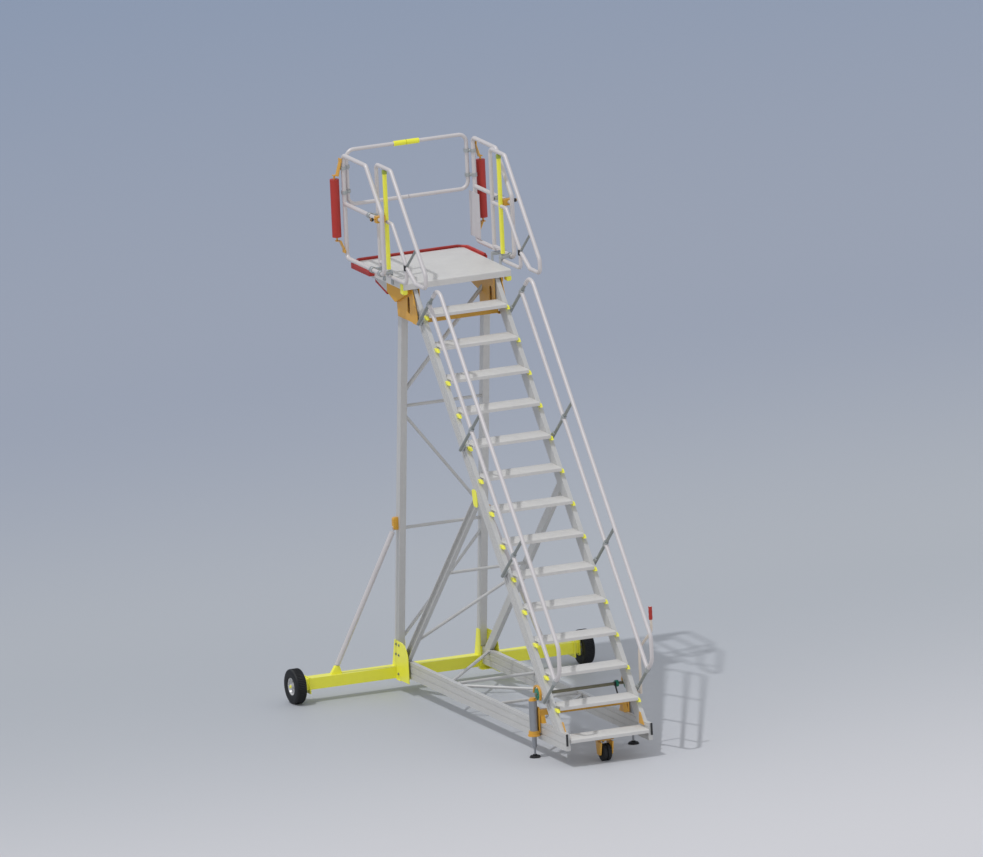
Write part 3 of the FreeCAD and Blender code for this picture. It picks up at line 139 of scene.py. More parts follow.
def build_mottle() -> bpy.types.NodeTree:
    """Slow and fine colour variation of a surface.

    Returns:
        The node group.
    """
    group, start, end = open_group(Effect.MOTTLE, {"Scale": 4.0, "Contrast": 1.0}, ["Mask"])
    place = put(group, "ShaderNodeTexCoord")
    slow = put(group, "ShaderNodeTexNoise", in_Detail=3.0, in_Roughness=0.6)
    fine = put(group, "ShaderNodeTexNoise", in_Detail=2.0)
    more = put(group, "ShaderNodeMath", operation="MULTIPLY", in_1=9.0)
    total = put(group, "ShaderNodeMath", operation="MULTIPLY_ADD", in_1=0.65)
    rest = put(group, "ShaderNodeMath", operation="MULTIPLY", in_1=0.35)
    shift = put(group, "ShaderNodeMath", operation="SUBTRACT", in_1=0.5)
    gain = put(group, "ShaderNodeMath", operation="MULTIPLY_ADD", in_2=0.5, use_clamp=True)
    links = group.links
    for node in (slow, fine):
        links.new(place.outputs["Object"], node.inputs["Vector"])
    links.new(start.outputs["Scale"], slow.inputs["Scale"])
    links.new(start.outputs["Scale"], more.inputs[0])
    links.new(more.outputs[0], fine.inputs["Scale"])
    links.new(fine.outputs["Fac"], rest.inputs[0])
    links.new(slow.outputs["Fac"], total.inputs[0])
    links.new(rest.outputs[0], total.inputs[2])
    links.new(total.outputs[0], shift.inputs[0])
    links.new(shift.outputs[0], gain.inputs[0])
    links.new(start.outputs["Contrast"], gain.inputs[1])
    links.new(gain.outputs[0], end.inputs["Mask"])
    return group


def build_grain() -> bpy.types.NodeTree:
    """Fine lines along the way that a metal was drawn or brushed.

    Returns:
        The node group.
    """
    takes = {"Across X": 300.0, "Across Y": 300.0, "Across Z": 300.0}
    group, start, end = open_group(Effect.GRAIN, takes, ["Height"])
    place = scaled_place(group, start, list(takes))
    lines = put(group, "ShaderNodeTexNoise", in_Scale=1.0, in_Detail=4.0, in_Roughness=0.7)
    group.links.new(place, lines.inputs["Vector"])
    group.links.new(lines.outputs["Fac"], end.inputs["Height"])
    return group


def build_peel() -> bpy.types.NodeTree:
    """The soft pebbled face of powder coat, or the coarser one of a casting.

    Returns:
        The node group.
    """
    group, start, end = open_group(Effect.PEEL, {"Scale": 260.0}, ["Height"])
    place = put(group, "ShaderNodeTexCoord")
    pebble = put(group, "ShaderNodeTexVoronoi", feature="SMOOTH_F1", in_Smoothness=1.0)
    group.links.new(place.outputs["Object"], pebble.inputs["Vector"])
    group.links.new(start.outputs["Scale"], pebble.inputs["Scale"])
    group.links.new(pebble.outputs["Distance"], end.inputs["Height"])
    return group


def build_edge() -> bpy.types.NodeTree:
    """Worn outer edges, broken up by noise.

    Returns:
        The node group.
    """
    group, start, end = open_group(Effect.EDGE, {"Radius": 0.004, "Breakup": 40.0}, ["Mask"])
    rounded = put(group, "ShaderNodeBevel", samples=4)
    face = put(group, "ShaderNodeNewGeometry")
    match = put(group, "ShaderNodeVectorMath", operation="DOT_PRODUCT")
    turn = put(group, "ShaderNodeMapRange", in_1=0.97, in_2=0.86, clamp=True)
    place = put(group, "ShaderNodeTexCoord")
    noise = put(group, "ShaderNodeTexNoise", in_Detail=4.0, in_Roughness=0.65)
    bite = put(group, "ShaderNodeMapRange", in_1=0.42, in_2=0.62, clamp=True)
    mask = put(group, "ShaderNodeMath", operation="MULTIPLY", use_clamp=True)
    links = group.links
    links.new(start.outputs["Radius"], rounded.inputs["Radius"])
    links.new(rounded.outputs["Normal"], match.inputs[0])
    links.new(face.outputs["True Normal"], match.inputs[1])
    links.new(match.outputs["Value"], turn.inputs[0])
    links.new(place.outputs["Object"], noise.inputs["Vector"])
    links.new(start.outputs["Breakup"], noise.inputs["Scale"])
    links.new(noise.outputs["Fac"], bite.inputs[0])
    links.new(turn.outputs[0], mask.inputs[0])
    links.new(bite.outputs[0], mask.inputs[1])
    links.new(mask.outputs[0], end.inputs["Mask"])
    return group


def build_dust() -> bpy.types.NodeTree:
    """Dust that lies on faces that look up.

    Returns:
        The node group.
    """
    group, start, end = open_group(Effect.DUST, {"Scale": 6.0, "Amount": 0.2}, ["Mask"])
    place = put(group, "ShaderNodeTexCoord")
    parts = put(group, "ShaderNodeSeparateXYZ")
    upward = put(group, "ShaderNodeMapRange", in_1=0.3, in_2=1.0, clamp=True)
    noise = put(group, "ShaderNodeTexNoise", in_Detail=5.0, in_Roughness=0.6)
    patch = put(group, "ShaderNodeMapRange", in_1=0.35, in_2=0.7, clamp=True)
    both = put(group, "ShaderNodeMath", operation="MULTIPLY")
    mask = put(group, "ShaderNodeMath", operation="MULTIPLY", use_clamp=True)
    links = group.links
    links.new(place.outputs["Normal"], parts.inputs[0])
    links.new(parts.outputs["Z"], upward.inputs[0])
    links.new(place.outputs["Object"], noise.inputs["Vector"])
    links.new(start.outputs["Scale"], noise.inputs["Scale"])
    links.new(noise.outputs["Fac"], patch.inputs[0])
    links.new(upward.outputs[0], both.inputs[0])
    links.new(patch.outputs[0], both.inputs[1])
    links.new(both.outputs[0], mask.inputs[0])
    links.new(start.outputs["Amount"], mask.inputs[1])
    links.new(mask.outputs[0], end.inputs["Mask"])
    return group


BUILDERS: dict[Effect, Callable[[], bpy.types.NodeTree]] = {
    Effect.MOTTLE: build_mottle,
    Effect.GRAIN: build_grain,
    Effect.PEEL: build_peel,
    Effect.EDGE: build_edge,
    Effect.DUST: build_dust,
}


# ------------------------------------------------------------------ finishes
DUST_COLOUR: Colour = (0.55, 0.54, 0.52)
COAT_ROUGHNESS = 0.25
EVERYWHERE = 9.0
ARM_PAINT_END = 1.458
LATCH_REACH = 0.1195
LATCH_LOW = 4.70


class Drawn(Enum):
    """The way that a metal's grain runs, as noise scales across X, Y and Z."""

    ALONG_X = (6.0, 420.0, 420.0)
    ALONG_Y = (420.0, 6.0, 420.0)
    ALONG_Z = (420.0, 420.0, 6.0)
    ALL_WAYS = (160.0, 160.0, 160.0)


@dataclass(frozen=True)
class Finish:
    """A surface finish of the platform.

    The second colour, if there is one, covers what lies less than reach[0] from the middle plane,
    below reach[1] in Y and above reach[2] in Z.
    """

    name: str
    slot: str
    colour: Colour
    shade: Colour
    metallic: float
    roughness: float
    texture: Effect = Effect.GRAIN
    drawn: Drawn = Drawn.ALL_WAYS
    pebble: float = 260.0
    bump: float = 0.05
    depth: float = 0.0004
    mottle: float = 4.0
    wear: float = 0.0
    bare: Colour = (0.62, 0.62, 0.62)
    dust: float = 0.15
    coat: float = 0.0
    second: Colour = ()
    reach: Triple = (EVERYWHERE, EVERYWHERE, 0.0)

    def material(self) -> bpy.types.Material:
        """Builds the finish as a node material, or finds the one already built.

        Returns:
            The material.
        """
        found = bpy.data.materials.get(self.name)
        if found:
            return found
        made = bpy.data.materials.new(self.name)
        made.use_nodes = True
        tree = made.node_tree
        tree.nodes.clear()
        shader = put(tree, "ShaderNodeBsdfPrincipled")
        shader.inputs["Metallic"].default_value = self.metallic
        shader.inputs["Coat Weight"].default_value = self.coat
        shader.inputs["Coat Roughness"].default_value = COAT_ROUGHNESS
        end = put(tree, "ShaderNodeOutputMaterial")
        tree.links.new(shader.outputs[0], end.inputs["Surface"])
        mottle = self.effect(tree, Effect.MOTTLE, Scale=self.mottle, Contrast=1.6)
        colour = self.blend(tree, mottle.outputs["Mask"], self.colour, self.shade)
        if self.wear:
            edge = self.effect(tree, Effect.EDGE, Radius=0.003, Breakup=30.0)
            amount = put(tree, "ShaderNodeMath", operation="MULTIPLY", in_1=self.wear)
            tree.links.new(edge.outputs["Mask"], amount.inputs[0])
            colour = self.blend(tree, amount.outputs[0], colour, self.bare)
        dust = self.effect(tree, Effect.DUST, Scale=7.0, Amount=self.dust)
        colour = self.blend(tree, dust.outputs["Mask"], colour, DUST_COLOUR)
        if self.second:
            colour = self.blend(tree, self.part_mask(tree), colour, self.second)
        tree.links.new(colour, shader.inputs["Base Color"])
        if self.texture is Effect.GRAIN:
            x, y, z = self.drawn.value
            face = self.effect(tree, Effect.GRAIN, **{"Across X": x, "Across Y": y, "Across Z": z})
        else:
            face = self.effect(tree, Effect.PEEL, Scale=self.pebble)
        rough = put(tree, "ShaderNodeMapRange", in_3=self.roughness - 0.08, in_4=self.roughness + 0.1)
        tree.links.new(face.outputs["Height"], rough.inputs[0])
        tree.links.new(rough.outputs[0], shader.inputs["Roughness"])
        bump = put(tree, "ShaderNodeBump", in_Strength=self.bump, in_Distance=self.depth)
        tree.links.new(face.outputs["Height"], bump.inputs["Height"])
        tree.links.new(bump.outputs[0], shader.inputs["Normal"])
        return made

    def part_mask(self, tree: bpy.types.NodeTree) -> object:
        """Marks where the second colour lies.

        Args:
            tree: the material's node tree.

        Returns:
            The output socket of the mask.
        """
        place = put(tree, "ShaderNodeTexCoord")
        parts = put(tree, "ShaderNodeSeparateXYZ")
        across = put(tree, "ShaderNodeMath", operation="ABSOLUTE")
        tree.links.new(place.outputs["Object"], parts.inputs[0])
        tree.links.new(parts.outputs["X"], across.inputs[0])
        tests = [(across.outputs[0], "LESS_THAN"), (parts.outputs["Y"], "LESS_THAN"),
                 (parts.outputs["Z"], "GREATER_THAN")]
        mask = None
        for limit, (source, kind) in zip(self.reach, tests):
            test = put(tree, "ShaderNodeMath", operation=kind, in_1=limit)
            tree.links.new(source, test.inputs[0])
            if mask is None:
                mask = test.outputs[0]
                continue
            both = put(tree, "ShaderNodeMath", operation="MULTIPLY")
            tree.links.new(mask, both.inputs[0])
            tree.links.new(test.outputs[0], both.inputs[1])
            mask = both.outputs[0]
        return mask

    @staticmethod
    def effect(tree: bpy.types.NodeTree, effect: Effect, **values: float) -> bpy.types.Node:
        """Places a shared effect in a material with its own values.

        Args:
            tree: the material's node tree.
            effect: the shared effect.
            values: values for the effect's named inputs.

        Returns:
            The group node.
        """
        group = bpy.data.node_groups.get(effect.value) or BUILDERS[effect]()
        node = put(tree, "ShaderNodeGroup", node_tree=group)
        for name, value in values.items():
            node.inputs[name].default_value = value
        return node

    @staticmethod
    def blend(tree: bpy.types.NodeTree, mask: object, under: object, over: Colour) -> object:
        """Mixes a plain colour over a colour or another colour's output by a mask.

        Args:
            tree: the material's node tree.
            mask: the output socket that says how much of the upper colour shows.
            under: the lower colour, or the output socket that carries it.
            over: the upper colour.

        Returns:
            The output socket of the mixed colour.
        """
        mix = put(tree, "ShaderNodeMix", data_type="RGBA")
        tree.links.new(mask, mix.inputs[0])
        if isinstance(under, tuple):
            mix.inputs[6].default_value = (*under, 1.0)
        else:
            tree.links.new(under, mix.inputs[6])
        mix.inputs[7].default_value = (*over, 1.0)
        return mix.outputs[2]


ALU_X = Finish("aluminium_along_x", "mill_aluminium", (0.64, 0.635, 0.62), (0.56, 0.555, 0.545), 0.22, 0.42,
               drawn=Drawn.ALONG_X, bump=0.12)
ALU_Y = replace(ALU_X, name="aluminium_along_y", drawn=Drawn.ALONG_Y)
ALU_Z = replace(ALU_X, name="aluminium_along_z", drawn=Drawn.ALONG_Z)
TREAD = Finish("tread_aluminium", "mill_aluminium", (0.69, 0.68, 0.665), (0.61, 0.60, 0.59), 0.10, 0.46,
               drawn=Drawn.ALONG_X, bump=0.15, dust=0.3)
TUBE = Finish("anodised_tube", "silver_tube", (0.68, 0.645, 0.65), (0.61, 0.58, 0.585), 0.15, 0.42, bump=0.04)
YELLOW = Finish("yellow_powder", "yellow_paint", (0.96, 0.94, 0.07), (0.91, 0.89, 0.065), 0.0, 0.40,
                texture=Effect.PEEL, bump=0.12, wear=0.35, coat=0.25)
ORANGE = Finish("orange_powder", "orange_paint", (0.76, 0.40, 0.035), (0.66, 0.34, 0.03), 0.0, 0.4,
                texture=Effect.PEEL, bump=0.12, wear=0.35, coat=0.25)
GATE = replace(TUBE, name="gate_tube", second=YELLOW.colour, reach=(LATCH_REACH, EVERYWHERE, LATCH_LOW))
ARM = replace(ALU_Y, name="arm_aluminium", second=ORANGE.colour, reach=(EVERYWHERE, ARM_PAINT_END, 0.0))
BLACK = Finish("black_moulding", "black_plastic", (0.02, 0.02, 0.021), (0.035, 0.035, 0.036), 0.0, 0.45,
               texture=Effect.PEEL, pebble=500.0, bump=0.1, dust=0.1)
RED = Finish("red_fender", "red_rubber", (0.50, 0.035, 0.025), (0.42, 0.03, 0.022), 0.0, 0.5,
             texture=Effect.PEEL, pebble=380.0, bump=0.1, dust=0.12)
GREY_TUBE = Finish("grey_post", "grey_tube", (0.31, 0.33, 0.32), (0.26, 0.28, 0.27), 0.2, 0.44,
                   texture=Effect.PEEL, bump=0.08, wear=0.4)
GREY_CAST = Finish("grey_casting", "grey_cast", (0.50, 0.52, 0.52), (0.42, 0.44, 0.44), 0.45, 0.5,
                   texture=Effect.PEEL, pebble=420.0, bump=0.25, wear=0.3)
ZINC = Finish("zinc_plate", "zinc_steel", (0.42, 0.43, 0.45), (0.34, 0.35, 0.36), 0.8, 0.35,
              drawn=Drawn.ALONG_Z, bump=0.08, mottle=30.0)
GREEN = Finish("green_enamel", "green_paint", (0.012, 0.26, 0.17), (0.01, 0.2, 0.13), 0.0, 0.36,
               texture=Effect.PEEL, bump=0.08, wear=0.5)
LIME = Finish("lime_enamel", "green_paint", (0.34, 0.42, 0.04), (0.29, 0.36, 0.035), 0.0, 0.36, coat=0.3)
OLIVE = Finish("olive_shaft", "olive_steel", (0.25, 0.24, 0.16), (0.20, 0.19, 0.13), 0.2, 0.42,
               drawn=Drawn.ALONG_X, bump=0.06, wear=0.3)
CREAM = Finish("cream_enamel", "cream_paint", (0.74, 0.66, 0.58), (0.66, 0.59, 0.52), 0.0, 0.36,
               texture=Effect.PEEL, bump=0.08, wear=0.3)
RUBBER = Finish("black_rubber", "black_rubber", (0.016, 0.016, 0.016), (0.028, 0.028, 0.027), 0.0, 0.62,
                texture=Effect.PEEL, pebble=600.0, bump=0.15, dust=0.08)
TYRE = Finish("tyre_rubber", "tyre", (0.007, 0.007, 0.007), (0.014, 0.014, 0.014), 0.0, 0.66,
              texture=Effect.PEEL, pebble=500.0, bump=0.2, dust=0.06)
RIM = Finish("rim_lacquer", "rim_grey", (0.66, 0.66, 0.66), (0.56, 0.56, 0.57), 0.25, 0.36,
             texture=Effect.PEEL, bump=0.06, wear=0.3)

NODE_FINISH: dict[str, Finish] = {
    "masts": ALU_Z, "mast_braces": ALU_X, "base_braces": ALU_X, "back_struts": ALU_Z,
    "stair_stringers": ALU_Z, "deck": TREAD, "deck_arms": ARM, "stair_treads": TREAD,
    "base_rails": ALU_Y, "deck_guards": TUBE, "stair_handrails": TUBE, "outrigger_struts": TUBE,
    "axle_beam": YELLOW, "mast_shoes": YELLOW, "guard_posts": YELLOW, "stair_brackets": YELLOW,
    "deck_corner_brackets": YELLOW, "mast_head": ORANGE, "jack_beam": ORANGE,
    "outrigger_brackets": ORANGE, "index_plungers": ORANGE, "jack_gearboxes": ORANGE,
    "base_rail_caps": BLACK, "bumper": RED, "handrail_posts": GREY_TUBE, "guard_braces": GREY_TUBE,
    "guard_guides": GREY_CAST, "jack_housings": ZINC, "jack_gears": GREEN, "cross_shaft": OLIVE,
    "jack_crank": BLACK, "control_lever": CREAM, "caster_mount": ORANGE, "caster_fork": ORANGE,
    "caster_wheels": RUBBER, "tyre": TYRE, "rim": RIM, "jack_leg": ZINC, "jack_foot": RUBBER,
    "sliding_guard": TUBE, "gate_hinges": GREY_CAST, "roller_bracket": ORANGE, "gate": GATE,
    "roller": RED,
}


def finish_for(node: str) -> Finish:
    """The finish of a frame node, by its own name or by its name without a side."""
    stem = node.removesuffix("_left").removesuffix("_right")
    return NODE_FINISH.get(node) or NODE_FINISH[stem]


def dress_frame(nodes: dict[str, bpy.types.Object]) -> None:
    """Gives each frame node its finish.

    Args:
        nodes: the frame's node objects by name.
    """
    for name, node in nodes.items():
        material = finish_for(name).material()
        if node.material_slots:
            for held in node.material_slots:
                held.material = material
        else:
            node.data.materials.append(material)
        LOG.info("frame node %s takes %s", name, material.name)


# ------------------------------------------------------------------ making pieces
RISE = 0.25
GOING = 0.211
STEPS = 14
SIN_SLOPE = math.sin(math.atan2(RISE, GOING))
COS_SLOPE = math.cos(math.atan2(RISE, GOING))
JACK_X = 0.461
JACK_FROM_FOOT = 0.594
SHAFT_Z = 0.552
MERGE = 1e-5
SHARP_ANGLE = 32.0
CHAMFER = 0.002
CAST_CHAMFER = 0.003


def begin(kind: Callable, **values: object) -> bpy.types.Object:
    """Adds a primitive, fixes its place in its mesh and opens it with all of it selected.

    Args:
        kind: the operator that adds the primitive.
        values: the operator's own settings.

    Returns:
        The new object, in edit mode.
    """
    if bpy.context.mode != "OBJECT":
        bpy.ops.object.mode_set(mode="OBJECT")
    bpy.ops.object.select_all(action="DESELECT")
    kind(**values)
    bpy.ops.object.transform_apply()
    bpy.ops.object.mode_set(mode="EDIT")
    bpy.ops.mesh.select_mode(type="FACE")
    bpy.ops.mesh.select_all(action="SELECT")
    return bpy.context.object


def pick(piece: bpy.types.Object, test: Callable[[bmesh.types.BMFace], bool]) -> None:
    """Selects just the faces of the open mesh that pass a test.

    Args:
        piece: the object whose mesh is open.
        test: tells whether a face is wanted.
    """
    bpy.ops.mesh.select_all(action="DESELECT")
    mesh = bmesh.from_edit_mesh(piece.data)
    for face in mesh.faces:
        face.select_set(test(face))
    bmesh.update_edit_mesh(piece.data)


def move(by: Sequence[float]) -> None:
    """Extrudes what is selected along a vector."""
    bpy.ops.mesh.extrude_region_move(TRANSFORM_OT_translate={"value": tuple(by)})


def stretch(by: Sequence[float], about: Sequence[float]) -> None:
    """Scales what is selected about a place."""
    bpy.ops.transform.resize(value=tuple(by), center_override=tuple(about))


def close(piece: bpy.types.Object) -> bpy.types.Object:
    """Merges doubles, turns faces outwards, smooths and leaves edit mode.

    Args:
        piece: the object in edit mode.

    Returns:
        The same object, in object mode.
    """
    bpy.ops.mesh.select_all(action="SELECT")
    bpy.ops.mesh.remove_doubles(threshold=MERGE)
    bpy.ops.mesh.normals_make_consistent(inside=False)
    bpy.ops.object.mode_set(mode="OBJECT")
    bpy.ops.object.shade_smooth_by_angle(angle=math.radians(SHARP_ANGLE))
    return piece


def disc(radius: float, sides: int, at: Sequence[float] = (0, 0, 0),
         turn: Sequence[float] = (0, 0, 0)) -> bpy.types.Object:
    """Starts a filled round in edit mode, with all of it selected.

    Args:
        radius: its radius.
        sides: how many flats it has.
        at: its middle.
        turn: its rotation from facing up.

    Returns:
        The open object.
    """
    return begin(bpy.ops.mesh.primitive_circle_add, vertices=sides, radius=radius, fill_type="NGON",
                 location=at, rotation=turn)


def plate(centre: Vector, wide: float, high: float, facing: str) -> bpy.types.Object:
    """Starts an upright rectangle in edit mode, with all of it selected.

    Args:
        centre: its middle.
        wide: its level side.
        high: its upright side.
        facing: the axis that it is square to, X or Y.

    Returns:
        The open object.
    """
    turn = (0, math.pi / 2, 0) if facing == "X" else (math.pi / 2, 0, 0)
    piece = begin(bpy.ops.mesh.primitive_plane_add, size=1.0, location=centre, rotation=turn)
    stretch((1.0, wide, high) if facing == "X" else (wide, 1.0, high), centre)
    return piece


def pick_corners(piece: bpy.types.Object, test: Callable[[Vector], bool]) -> None:
    """Selects just the corners of the open mesh whose place passes a test.

    Args:
        piece: the object whose mesh is open.
        test: tells whether a corner's place is wanted.
    """
    bpy.ops.mesh.select_mode(type="VERT")
    bpy.ops.mesh.select_all(action="DESELECT")
    mesh = bmesh.from_edit_mesh(piece.data)
    for corner in mesh.verts:
        corner.select_set(test(corner.co))
    bmesh.update_edit_mesh(piece.data)


def thicken(by: Sequence[float], chamfer: float = 0.0) -> None:
    """Extrudes the whole open face, then softens all edges when a chamfer is given.

    Args:
        by: how far and which way the face goes.
        chamfer: how wide the edges are softened, or 0.
    """
    bpy.ops.mesh.select_mode(type="FACE")
    bpy.ops.mesh.select_all(action="SELECT")
    move(by)
    if chamfer:
        bpy.ops.mesh.select_all(action="SELECT")
        bpy.ops.mesh.bevel(offset=chamfer, segments=2, affect="EDGES")


def round_corners(radius: float, segments: int) -> None:
    """Rounds the selected corners of the open mesh."""
    bpy.ops.mesh.select_mode(type="VERT")
    bpy.ops.mesh.bevel(offset=radius, segments=segments, affect="VERTICES")


def washer(radius: float, bore: float, thick: float, at: Vector) -> bpy.types.Object:
    """Makes a level ring.

    Args:
        radius: its outer radius.
        bore: its inner radius.
        thick: its height.
        at: the middle of its underside.

    Returns:
        The finished ring.
    """
    ring = disc(radius, 32, at)
    bpy.ops.mesh.inset(thickness=radius - bore)
    bpy.ops.mesh.delete(type="FACE")
    thicken((0, 0, thick))
    return close(ring)


def tube(points: Sequence[Vector], bend: float, radius: float, sides: int = 20) -> bpy.types.Object:
    """Draws a round tube by extruding its straight runs and spinning its bends.

    Args:
        points: the corners of the tube's centre line.
        bend: the radius of every bend's centre line.
        radius: the tube's own radius.
        sides: how many flats the round has.

    Returns:
        The finished tube.
    """
    way = (points[1] - points[0]).normalized()
    facing = way.to_track_quat("Z", "Y").to_euler()
    piece = disc(radius, sides, points[0], facing)
    here = points[0]
    for corner, after in zip(points[1:], points[2:]):
        out = (after - corner).normalized()
        turn = way.angle(out)
        setback = bend * math.tan(turn / 2)
        entry = corner - way * setback
        move(entry - here)
        inward = (out - way * way.dot(out)).normalized()
        bpy.ops.mesh.spin(steps=max(3, round(turn * 5)), angle=-turn, center=tuple(entry + inward * bend),
                          axis=tuple(way.cross(out).normalized()))
        here = corner + out * setback
        way = out
    move(points[-1] - here)
    return close(piece)


def copies(model: bpy.types.Object, places: Sequence[Matrix]) -> bpy.types.Object:
    """Copies a model to each place, each with its own mesh, and joins the copies.

    Args:
        model: the piece to copy, which is removed afterwards.
        places: where each copy goes.

    Returns:
        The joined piece.
    """
    bpy.ops.object.select_all(action="DESELECT")
    made = []
    for place in places:
        copy = model.copy()
        copy.data = model.data.copy()
        copy.data.transform(place)
        bpy.context.scene.collection.objects.link(copy)
        copy.select_set(True)
        made.append(copy)
    bpy.data.objects.remove(model)
    bpy.context.view_layer.objects.active = made[0]
    bpy.ops.object.join()
    return bpy.context.object


def slope_point(x: float, along: float, above: float) -> Vector:
    """A place by its way down the stair's nose line and its height square to it.

    Args:
        x: distance from the stair's middle.
        along: how far down the nose line, from the deck's edge.
        above: height square to the nose line.

    Returns:
        The place.
    """
    near, top = deck_edge()
    y = near - along * COS_SLOPE - above * SIN_SLOPE
    return Vector((x, y, top - along * SIN_SLOPE + above * COS_SLOPE))


def deck_edge() -> tuple[float, float]:
    """The deck's stair edge in Y and its top in Z."""
    low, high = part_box("deck")
    return low[1], high[2]


def foot_y() -> float:
    """The nose of the lowest tread in Y."""
    return deck_edge()[0] - GOING * STEPS


def middle_y(node: str) -> float:
    """The middle of a frame node's box in Y."""
    low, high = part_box(node)
    return (low[1] + high[1]) / 2


# ------------------------------------------------------------------ sub-assemblies
@dataclass
class Assembly:
    """A sub-assembly of the platform that dresses its own pieces."""

    body: str = FRAME_BODY

    def dress(self, piece: bpy.types.Object, name: str, finish: Finish, *nodes: str,
              body: str = "") -> bpy.types.Object:
        """Names a piece, gives it its finish and hangs it on its body.

        Args:
            piece: the finished piece.
            name: its name.
            finish: its finish.
            nodes: the frame nodes that it stands for.
            body: the body that carries it, when that isn't the assembly's own.

        Returns:
            The same piece.
        """
        piece.name = piece.data.name = name
        piece.data.materials.clear()
        piece.data.materials.append(finish.material())
        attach(piece, body or self.body)
        if nodes:
            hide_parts(*nodes)
        LOG.info("%s made in %s", name, finish.name)
        return piece


@dataclass
class FixedGuards(Assembly):
    """The fixed inner guards: an outer hoop tucked back below, an inner hoop, stay and post."""

    x: float = 0.535
    top: float = 0.985
    mid: float = 0.510
    low: float = 0.122
    foot: float = 0.089
    knee: float = 0.095
    post: float = 0.240
    front: float = 0.420
    end: float = 0.185
    toe: float = 0.065
    toe_length: float = 0.225
    inner_knee: float = 0.110
    inner_end: float = 0.195
    inner_toe: float = 0.030
    outer_radius: float = 0.018
    inner_radius: float = 0.016
    outer_bend: float = 0.048
    inner_bend: float = 0.040
    toe_slope: float = 0.6
    stay: float = 0.011
    clamp: float = 0.024
    clamp_wall: float = 0.006
    post_width: float = 0.031
    post_corner: float = 0.003
    collar: float = 0.036
    collar_wall: float = 0.003
    collar_dome: float = 0.003
    collar_bevel: float = 0.004

    def build(self) -> None:
        """Builds both guards."""
        for label, side in SIDES.items():
            self.build_hoops(label, side * self.x)
            self.build_post(label, side * self.x)

    def place(self, x: float, y: float, z: float) -> Vector:
        """A place by its distance from the deck's stair edge and its height over the deck."""
        near, top = deck_edge()
        return Vector((x, near + y, top + z))

    def build_hoops(self, label: str, x: float) -> None:
        """Builds one guard's hoops, its two short rails, its stay and its clamp.

        Args:
            label: the side's name, for the piece's name.
            x: the guard's distance from the middle.
        """
        fall = GOING / RISE
        heel = self.knee - (self.top - self.end) * fall
        back = self.post - self.post_width / 2
        inner = back - self.inner_knee - (self.mid - self.inner_end) * fall
        tip = inner - self.inner_radius - self.outer_radius / 2
        tip_z = self.toe + (tip - heel - self.toe_length) * self.toe_slope
        outline = [(self.front, self.foot), (self.front, self.top), (self.knee, self.top),
                   (heel, self.end), (heel, self.toe), (heel + self.toe_length, self.toe), (tip, tip_z)]
        hoop = tube([self.place(x, *spot) for spot in outline], self.outer_bend, self.outer_radius)
        self.dress(hoop, f"guard_outer_hoop_{label}", TUBE, "deck_guards")
        outline = [(back, self.mid), (back - self.inner_knee, self.mid), (inner, self.inner_end),
                   (inner, self.inner_toe), (self.post, self.inner_toe)]
        hoop = tube([self.place(x, *spot) for spot in outline], self.inner_bend, self.inner_radius)
        self.dress(hoop, f"guard_inner_hoop_{label}", TUBE)
        for name, z in (("mid", self.mid), ("low", self.low)):
            rail = tube([self.place(x, self.post, z), self.place(x, self.front, z)], 0.0, self.inner_radius)
            self.dress(rail, f"guard_{name}_rail_{label}", TUBE)
        joint = self.place(x, inner, tip_z)
        knee = self.place(x, self.knee, self.top)
        down = Vector((0, -COS_SLOPE, -SIN_SLOPE))
        crossing = knee + down * (joint - knee).dot(down)
        stay = tube([crossing, joint], 0.0, self.stay, 14)
        self.dress(stay, f"guard_stay_{label}", GREY_TUBE, "guard_braces")
        half = Vector((0, 0, self.clamp))
        ring = tube([joint - half, joint + half], 0.0, self.inner_radius + self.clamp_wall)
        self.dress(ring, f"guard_clamp_{label}", BLACK)

    def build_post(self, label: str, x: float) -> None:
        """Builds a guard's square yellow post with its lime collar.

        Args:
            label: the side's name, for the piece's name.
            x: the guard's distance from the middle.
        """
        base = self.place(x, self.post, self.foot)
        rise = self.top - self.outer_radius - self.foot - self.collar
        post = begin(bpy.ops.mesh.primitive_plane_add, size=self.post_width, location=base)
        round_corners(self.post_corner, 2)
        bpy.ops.mesh.select_mode(type="FACE")
        move((0, 0, rise))
        self.dress(close(post), f"guard_post_{label}", YELLOW, "guard_posts")
        top = base + Vector((0, 0, rise))
        collar = begin(bpy.ops.mesh.primitive_plane_add, size=self.post_width + 2 * self.collar_wall,
                       location=top)
        round_corners(self.collar_bevel, 2)
        bpy.ops.mesh.select_mode(type="FACE")
        move((0, 0, self.collar - self.collar_bevel))
        bpy.ops.mesh.inset(thickness=self.collar_bevel)
        bpy.ops.transform.translate(value=(0, 0, self.collar_dome))
        self.dress(close(collar), f"guard_post_collar_{label}", LIME)


